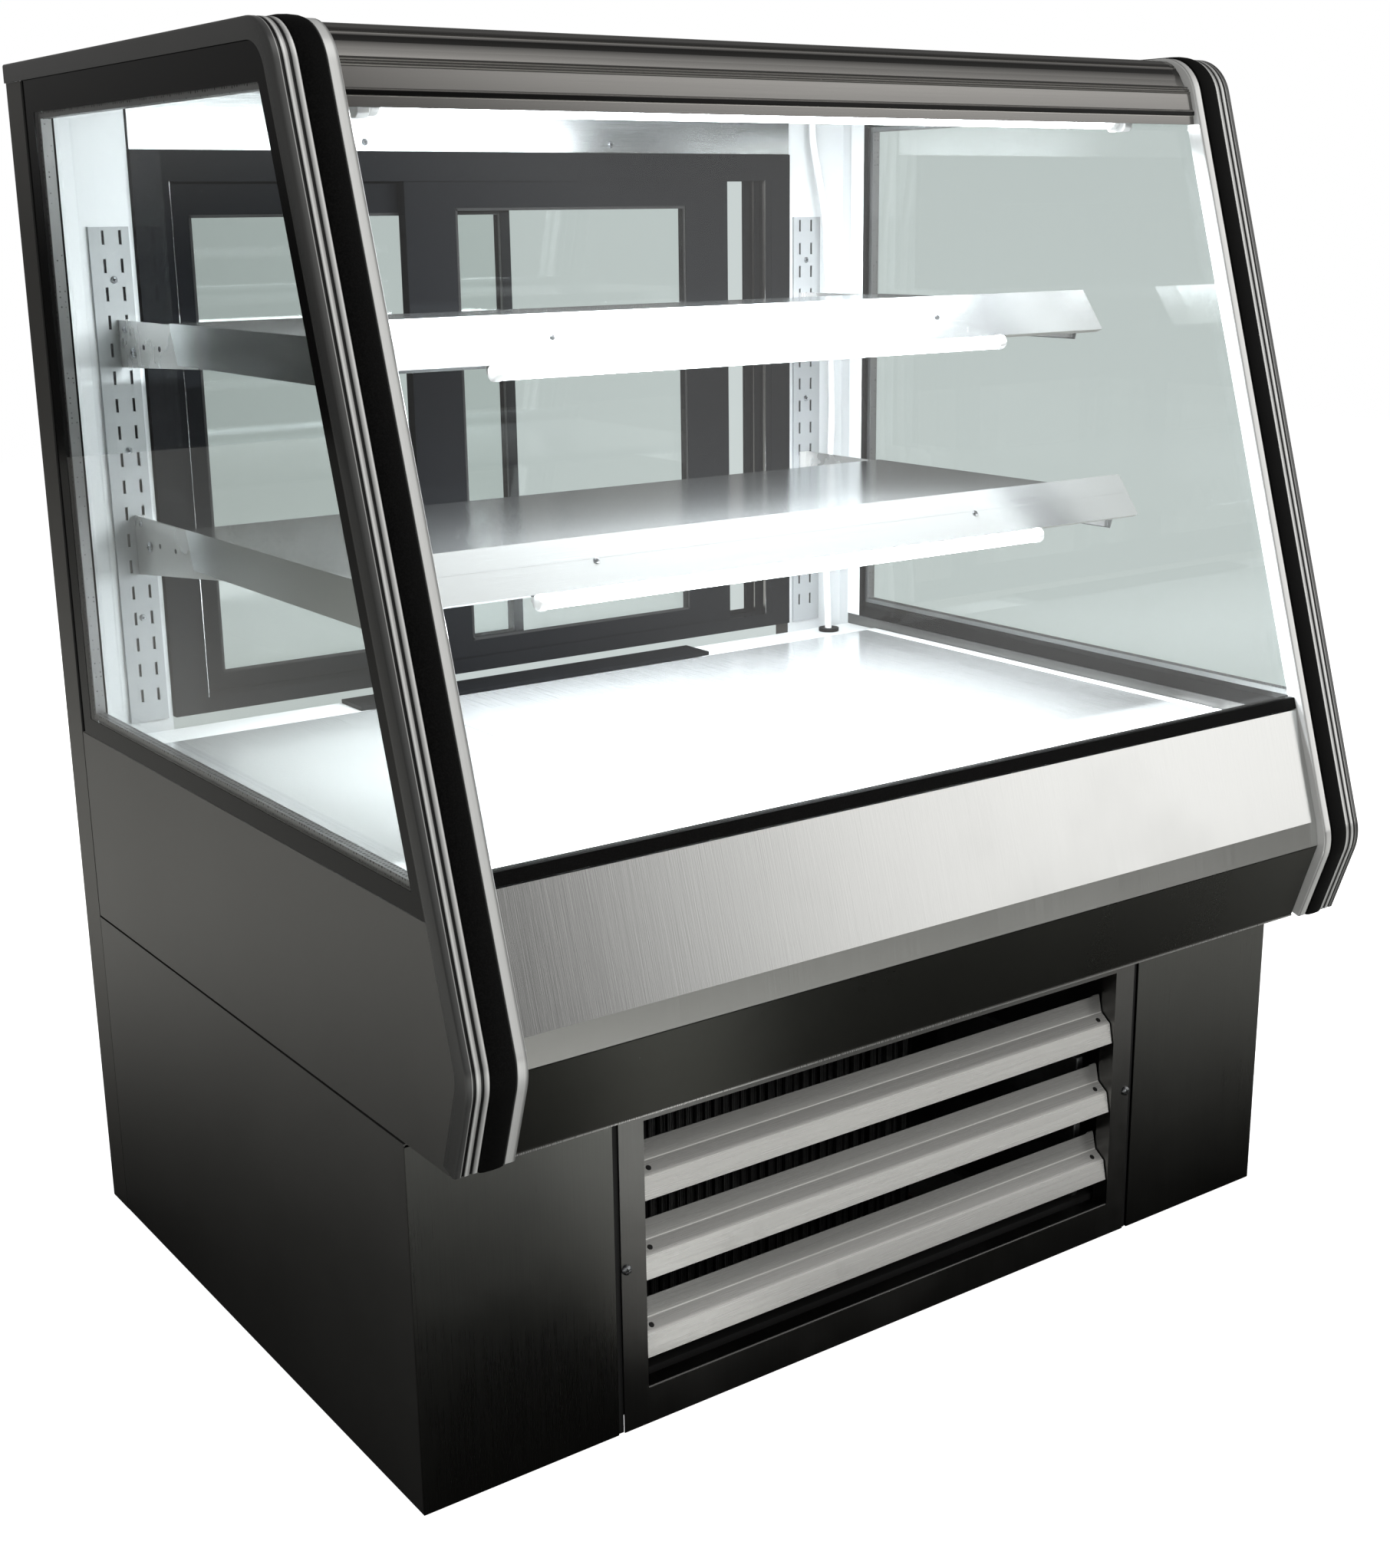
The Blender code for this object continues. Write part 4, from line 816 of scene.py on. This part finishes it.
# ---- lamps ---------------------------------------------------------------------------------------
def add_span_tube(cage, radius, x, d, z, sides=32):
    """A horizontal tube with softly rounded ends."""
    length = x[1] - x[0]
    profile = [(0.0, 0.0), (radius * 0.7, 0.0), (radius * 0.93, radius * 0.12), (radius, radius * 0.4),
               (radius, length - radius * 0.4),
               (radius * 0.93, length - radius * 0.12), (radius * 0.7, length), (0.0, length)]
    add_lathe(cage, profile, (x[0], d, z), RIGHT, sides)


def light_fittings():
    for name in ("canopy_lamp", "shelf_lamp_upper", "shelf_lamp_lower"):
        low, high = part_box(name)
        radius, reach = (high.z - low.z) / 2, high.x
        d, z = BACK - (low.y + high.y) / 2, (low.z + high.z) / 2
        cage = bmesh.new()
        add_span_tube(cage, radius, (-reach + 0.012, reach - 0.012), d, z)
        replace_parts(piece(name + "_tube", cage, "lamp_tube"), name)
        cage = bmesh.new()
        for sign in (-1, 1):
            a, b = sorted((sign * reach, sign * (reach - 0.0125)))
            add_span_tube(cage, radius + 0.0012, (a, b), d, z)
        if name == "canopy_lamp":
            trough = [(0.6150, 1.3752), (0.6150, 1.3700), (0.6260, 1.3560), (0.6640, 1.3545), (0.6720, 1.3640),
                      (0.6720, 1.3752)]
            add_prism(cage, trough, (-0.505, 0.505))
            for sign in (-1, 1):
                a, b = sorted((sign * 0.505, sign * 0.4925))
                end = [(d - 0.0150, 1.3560), (d - 0.0150, z - 0.0120), (d - 0.0100, z - 0.0160),
                       (d + 0.0100, z - 0.0160),
                       (d + 0.0150, z - 0.0120), (d + 0.0150, 1.3560)]
                add_prism(cage, end, (a, b))
        else:
            for sign in (-1, 1):
                a, b = sorted((sign * (reach - 0.002), sign * (reach - 0.011)))
                clip = [(d - 0.0030, z + 0.0068), (d - 0.0030, z - 0.0060), (d - 0.0130, z - 0.0010),
                        (d - 0.0130, z + 0.0044)]
                add_prism(cage, clip, (a, b))
        piece(name + "_holders", cage, "white_plastic", bevel=0.0008)


# ---- shelves -------------------------------------------------------------------------------------
# height of the plate, then depth and height of the lip's bend
SHELVES = {"upper": (1.1145, 0.5770, 1.1280), "lower": (0.8855, 0.6500, 0.9065)}


def shelf_detail():
    lip_axis = Vector((0.0, -0.798, 0.602))
    for name, (plate, lip_d, lip_z) in SHELVES.items():
        screws = Screws()
        for x in (-0.2636, 0.2636):
            screws.add((x, lip_d + 0.0176 + 0.0002, lip_z - 0.0232 + 0.0002), lip_axis, 0.0034, 0.0016)
        bolt_z = {"upper": 1.0905, "lower": 0.8640}[name]
        for sign in (-1, 1):
            screws.add((sign * 0.5152, 0.0810, bolt_z - 0.013), (sign, 0, 0), 0.0062, 0.0034)
            screws.add((sign * 0.5152, 0.0560, bolt_z + 0.012), (sign, 0, 0), 0.0040, 0.0020)
        screws.done(f"shelf_{name}_screws")
        cage = bmesh.new()
        for sign in (-1, 1):
            for d in (0.112, 0.160, lip_d - 0.150, lip_d - 0.060):
                disc = [(0.0, 0.0), (0.0030, 0.0), (0.0030, 0.0003), (0.0, 0.0003)]
                add_lathe(cage, disc, (sign * 0.5151, d, plate - 0.0300), (sign, 0, 0), 16)
        # thin near-black discs: painted shade in the bracket holes
        piece(f"shelf_{name}_bracket_holes", cage, "recess")
        cage = bmesh.new()
        for x in (-0.300, 0.300):
            add_prism(cage, [(0.2030, plate - 0.0016), (lip_d - 0.004, plate - 0.0016),
                             (lip_d - 0.004, plate - 0.0140), (0.2030, plate - 0.0140)],
                      (x - 0.0100, x + 0.0100))
        piece(f"shelf_{name}_stiffeners", cage, "shelf_steel", bevel=0.0006)
    cage = bmesh.new()
    for sign in (-1, 1):
        a, b = sorted((sign * 0.5290, sign * 0.4985))
        add_box(cage, (a, b), (0.0306, 0.0314), (0.6320, 1.2160))
    # a near-black strip behind each shelf standard: painted shade
    piece("standard_backing_shade", cage, "recess")
    screws = Screws()
    for sign in (-1, 1):
        for z in (1.1583, 0.9611, 0.7589):
            screws.add((sign * 0.5150, 0.0346, z), FRONT, 0.0042, 0.0016)
    screws.add((0.1814, 0.0323, 1.3146), FRONT, 0.0045, 0.0020)
    screws.add((-0.1814, 0.0323, 1.3146), FRONT, 0.0045, 0.0020)
    screws.done("standard_screws")


# ---- grille and what shows behind it -------------------------------------------------------------
def grille_detail():
    cage = bmesh.new()
    front = 0.850
    for number in range(3):
        z = TOP_LOUVER_Z - number * LOUVER_PITCH
        for sign in (-1, 1):
            a, b = sorted((sign * 0.3395, sign * 0.3290))
            tab = [(front - 0.0275, z + 0.0555), (front - 0.0275, z - 0.0010), (front - 0.0265, z - 0.0010),
                   (front - 0.0265, z + 0.0555)]
            add_prism(cage, tab, (a, b))
    add_prism(cage, [(0.8482, 0.0425), (0.8499, 0.0425), (0.8499, 0.0437), (0.8482, 0.0437)], (-0.3405, 0.3405))
    piece("louver_tabs", cage, "louver_steel", bevel=0.0002)
    welds = bmesh.new()
    for number in range(3):
        z = TOP_LOUVER_Z - number * LOUVER_PITCH
        up = Vector((0.0, -0.581, 0.814))
        for x in (-0.3270, 0.3270):
            add_lathe(welds, [(0.0, 0.0), (0.0032, 0.0), (0.0026, 0.0004), (0.0, 0.0005)],
                      (x, front - 0.0135, z + 0.0290), up, 14)
    piece("louver_spot_welds", welds, "recess")
    screws = Screws()
    for sign in (-1, 1):
        screws.add((sign * 0.3652, 0.8502, 0.1885), FRONT, 0.0058, 0.0030)
    screws.done("grille_screw_heads")
    for side in ("left", "right"):
        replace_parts(bpy.data.objects["grille_screw_heads"], f"grille_screw_{side}")
    cage = bmesh.new()
    for i in range(33):
        x = -0.297 + i * 0.0124
        add_prism(cage, [(0.7512, 0.0120), (0.7560, 0.0120), (0.7560, 0.3400), (0.7512, 0.3400)],
                  (x, x + 0.0006))
    piece("condenser_front_fins", cage, "coil_fins")
    cage = bmesh.new()
    for row in range(8):
        z = 0.032 + row * 0.0405
        for x, sign in ((-0.3005, -1), (0.1005, 1)):
            bend = [(x, 0.705, z), (x + sign * 0.010, 0.705, z + 0.003), (x + sign * 0.016, 0.705, z + 0.010),
                    (x + sign * 0.010, 0.705, z + 0.017), (x, 0.705, z + 0.020)]
            add_tube(cage, smooth(bend, 4), 0.0045, 10)
    pipe = [(0.110, 0.735, 0.315), (0.150, 0.735, 0.320), (0.200, 0.700, 0.300), (0.235, 0.620, 0.270),
            (0.235, 0.560, 0.240), (0.235, 0.520, 0.216)]
    add_tube(cage, smooth(pipe, 6), 0.0050, 12)
    liquid = [(-0.310, 0.735, 0.050), (-0.350, 0.735, 0.048), (-0.385, 0.720, 0.060), (-0.400, 0.690, 0.110),
              (-0.400, 0.650, 0.180)]
    add_tube(cage, smooth(liquid, 6), 0.0050, 12)
    piece("condenser_pipes", cage, "copper")
    cage = bmesh.new()
    add_lathe(cage, [(0.0, 0.0), (0.0180, 0.0), (0.0210, 0.004), (0.0210, 0.115), (0.0150, 0.128),
                     (0.0060, 0.134), (0.0, 0.134)],
              (-0.400, 0.650, 0.180), UP, 24)
    piece("filter_drier", cage, "copper")
    cage = bmesh.new()
    add_box(cage, (0.130, 0.215), (0.700, 0.760), (0.0060, 0.0700))
    add_box(cage, (0.320, 0.330), (0.560, 0.812), (0.0060, 0.2300))
    piece("machine_bay_brackets", cage, "galvanised", bevel=0.0015)


# ---- lining, deck, cable and doors ---------------------------------------------------------------
def cabinet_lining():
    """Bright header strip over the doors and the white ceiling between it and the front rail."""
    cage = bmesh.new()
    add_prism(cage, [(0.0324, 1.3042), (0.0332, 1.3042), (0.0332, 1.3738), (0.0324, 1.3738)], (-0.4835, 0.4835))
    piece("header_strip", cage, "shelf_steel")
    cage = bmesh.new()
    add_prism(cage, [(0.0340, 1.3742), (0.6130, 1.3742), (0.6130, 1.3752), (0.0340, 1.3752)], (-0.5450, 0.5450))
    piece("ceiling_liner", cage, "white_liner")


def deck_finish():
    """Deck pans with rolled edges, their white border, painted shade in the base front's seams and a painted
    highlight along the underside hem.
    """
    for side in ("left", "right"):
        low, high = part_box(f"deck_pan_{side}")
        cage = bmesh.new()
        add_box(cage, (low.x, high.x), (BACK - high.y, BACK - low.y), (low.z, high.z))
        pan = piece(f"deck_pan_{side}_rolled", cage, "deck_steel", f"{side}_deck_pan", crisp=60.0)
        edge = pan.modifiers.new("rolled_edge", "BEVEL")
        edge.width = 0.0022
        edge.segments = 4
        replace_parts(pan, f"deck_pan_{side}")
    cage = bmesh.new()
    z = (0.6088, 0.6206)
    for sign in (-1, 1):
        a, b = sorted((sign * 0.5712, sign * 0.5856))
        add_box(cage, (a, b), (0.1130, 0.7720), z)
    add_box(cage, (-0.5856, 0.5856), (0.7662, 0.7850), (0.6122, 0.6206))
    piece("deck_border", cage, "white_liner", bevel=0.0012)
    cage = bmesh.new()
    for sign in (-1, 1):
        a, b = sorted((sign * 0.3774, sign * 0.3717))
        add_box(cage, (a, b), (0.8440, 0.8478), (0.0010, 0.3850))
    # near-black strips behind the seams: painted shade in the seam gaps
    piece("base_seam_shade", cage, "recess")
    cage = bmesh.new()
    add_prism(cage, [(0.9366, 0.4003), (0.9382, 0.4006), (0.9387, 0.4024), (0.9377, 0.4025)], (-0.5452, 0.5452))
    # a bright strip: painted highlight along the lower edge of the underside sheet
    piece("underside_hem_highlight", cage, "stainless")


def lead():
    route = [(0.5170, 0.0480, 1.3745), (0.5130, 0.0500, 1.3300), (0.5200, 0.0540, 1.2800),
             (0.5300, 0.0580, 1.2200), (0.5340, 0.0600, 1.1400),
             (0.5380, 0.0620, 1.0400), (0.5400, 0.0640, 0.9400), (0.5340, 0.0660, 0.8400),
             (0.5270, 0.0690, 0.7400), (0.5240, 0.0760, 0.6700),
             (0.5240, 0.0800, 0.6030)]
    points = smooth(route, 4)
    cage = bmesh.new()
    add_tube(cage, points, 0.0050, 16)
    cable = piece("lamp_lead", cage, "white_cable")
    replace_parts(cable, "lamp_cable")


BEAD = 0.0030                         # width of the glazing bead round each door pane
BEAD_OVERLAP = 0.0005                 # how far it runs over the sash at the head and foot
JAMB_FACE_X = 0.4502                  # the frame's opening, where the jamb lips start
JAMB_TIP_X = 0.4394                   # how far in the lips reach
JAMB_EDGE_X = 0.4386                  # inner face of the painted highlight strip on their tips
REAR_LIP_D = (-0.0196, -0.0144)
TRACK_FIN_D = (0.0068, 0.0092)
FRONT_LIP_D = (0.0304, 0.0356)


def doors_detail():
    cage = bmesh.new()
    x = (-0.4495, 0.4495)
    for z in ((0.6465, 0.6480), (1.2680, 1.2695)):
        for d in (-0.0085, 0.0065, 0.0200):
            add_box(cage, x, (d, d + 0.0012), z)
    piece("door_track_ribs", cage, "black_frame")
    # the lips of the jambs and the fin between the tracks keep to planes that neither door leaf passes through
    lips, edges = bmesh.new(), bmesh.new()
    for sign in (-1, 1):
        for d in (REAR_LIP_D, TRACK_FIN_D, FRONT_LIP_D):
            add_box(lips, sorted((sign * JAMB_TIP_X, sign * JAMB_FACE_X)), d, (0.6478, 1.2682))
            if d is not REAR_LIP_D:
                add_box(edges, sorted((sign * JAMB_EDGE_X, sign * JAMB_TIP_X)), d, (0.6482, 1.2678))
    piece("door_jamb_lips", lips, "black_frame")
    # the edge strips are bright: a painted highlight along the lip tips
    piece("door_jamb_edges", edges, "polished")
    for side in ("right", "left"):
        low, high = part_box(f"door_glass_{side}")
        front = BACK - low.y
        cage = bmesh.new()
        for x, z in (((low.x, high.x), (low.z - BEAD_OVERLAP, low.z + BEAD)),
                     ((low.x, high.x), (high.z - BEAD, high.z + BEAD_OVERLAP)),
                     ((low.x, low.x + BEAD), (low.z, high.z)),
                     ((high.x - BEAD, high.x), (low.z, high.z))):
            add_box(cage, x, (front + 0.0002, front + 0.0016), z)
        piece(f"door_{side}_bead", cage, "rubber", f"{side}_door")


trims()
glass_borders()
light_fittings()
shelf_detail()
grille_detail()
cabinet_lining()
deck_finish()
lead()
doors_detail()
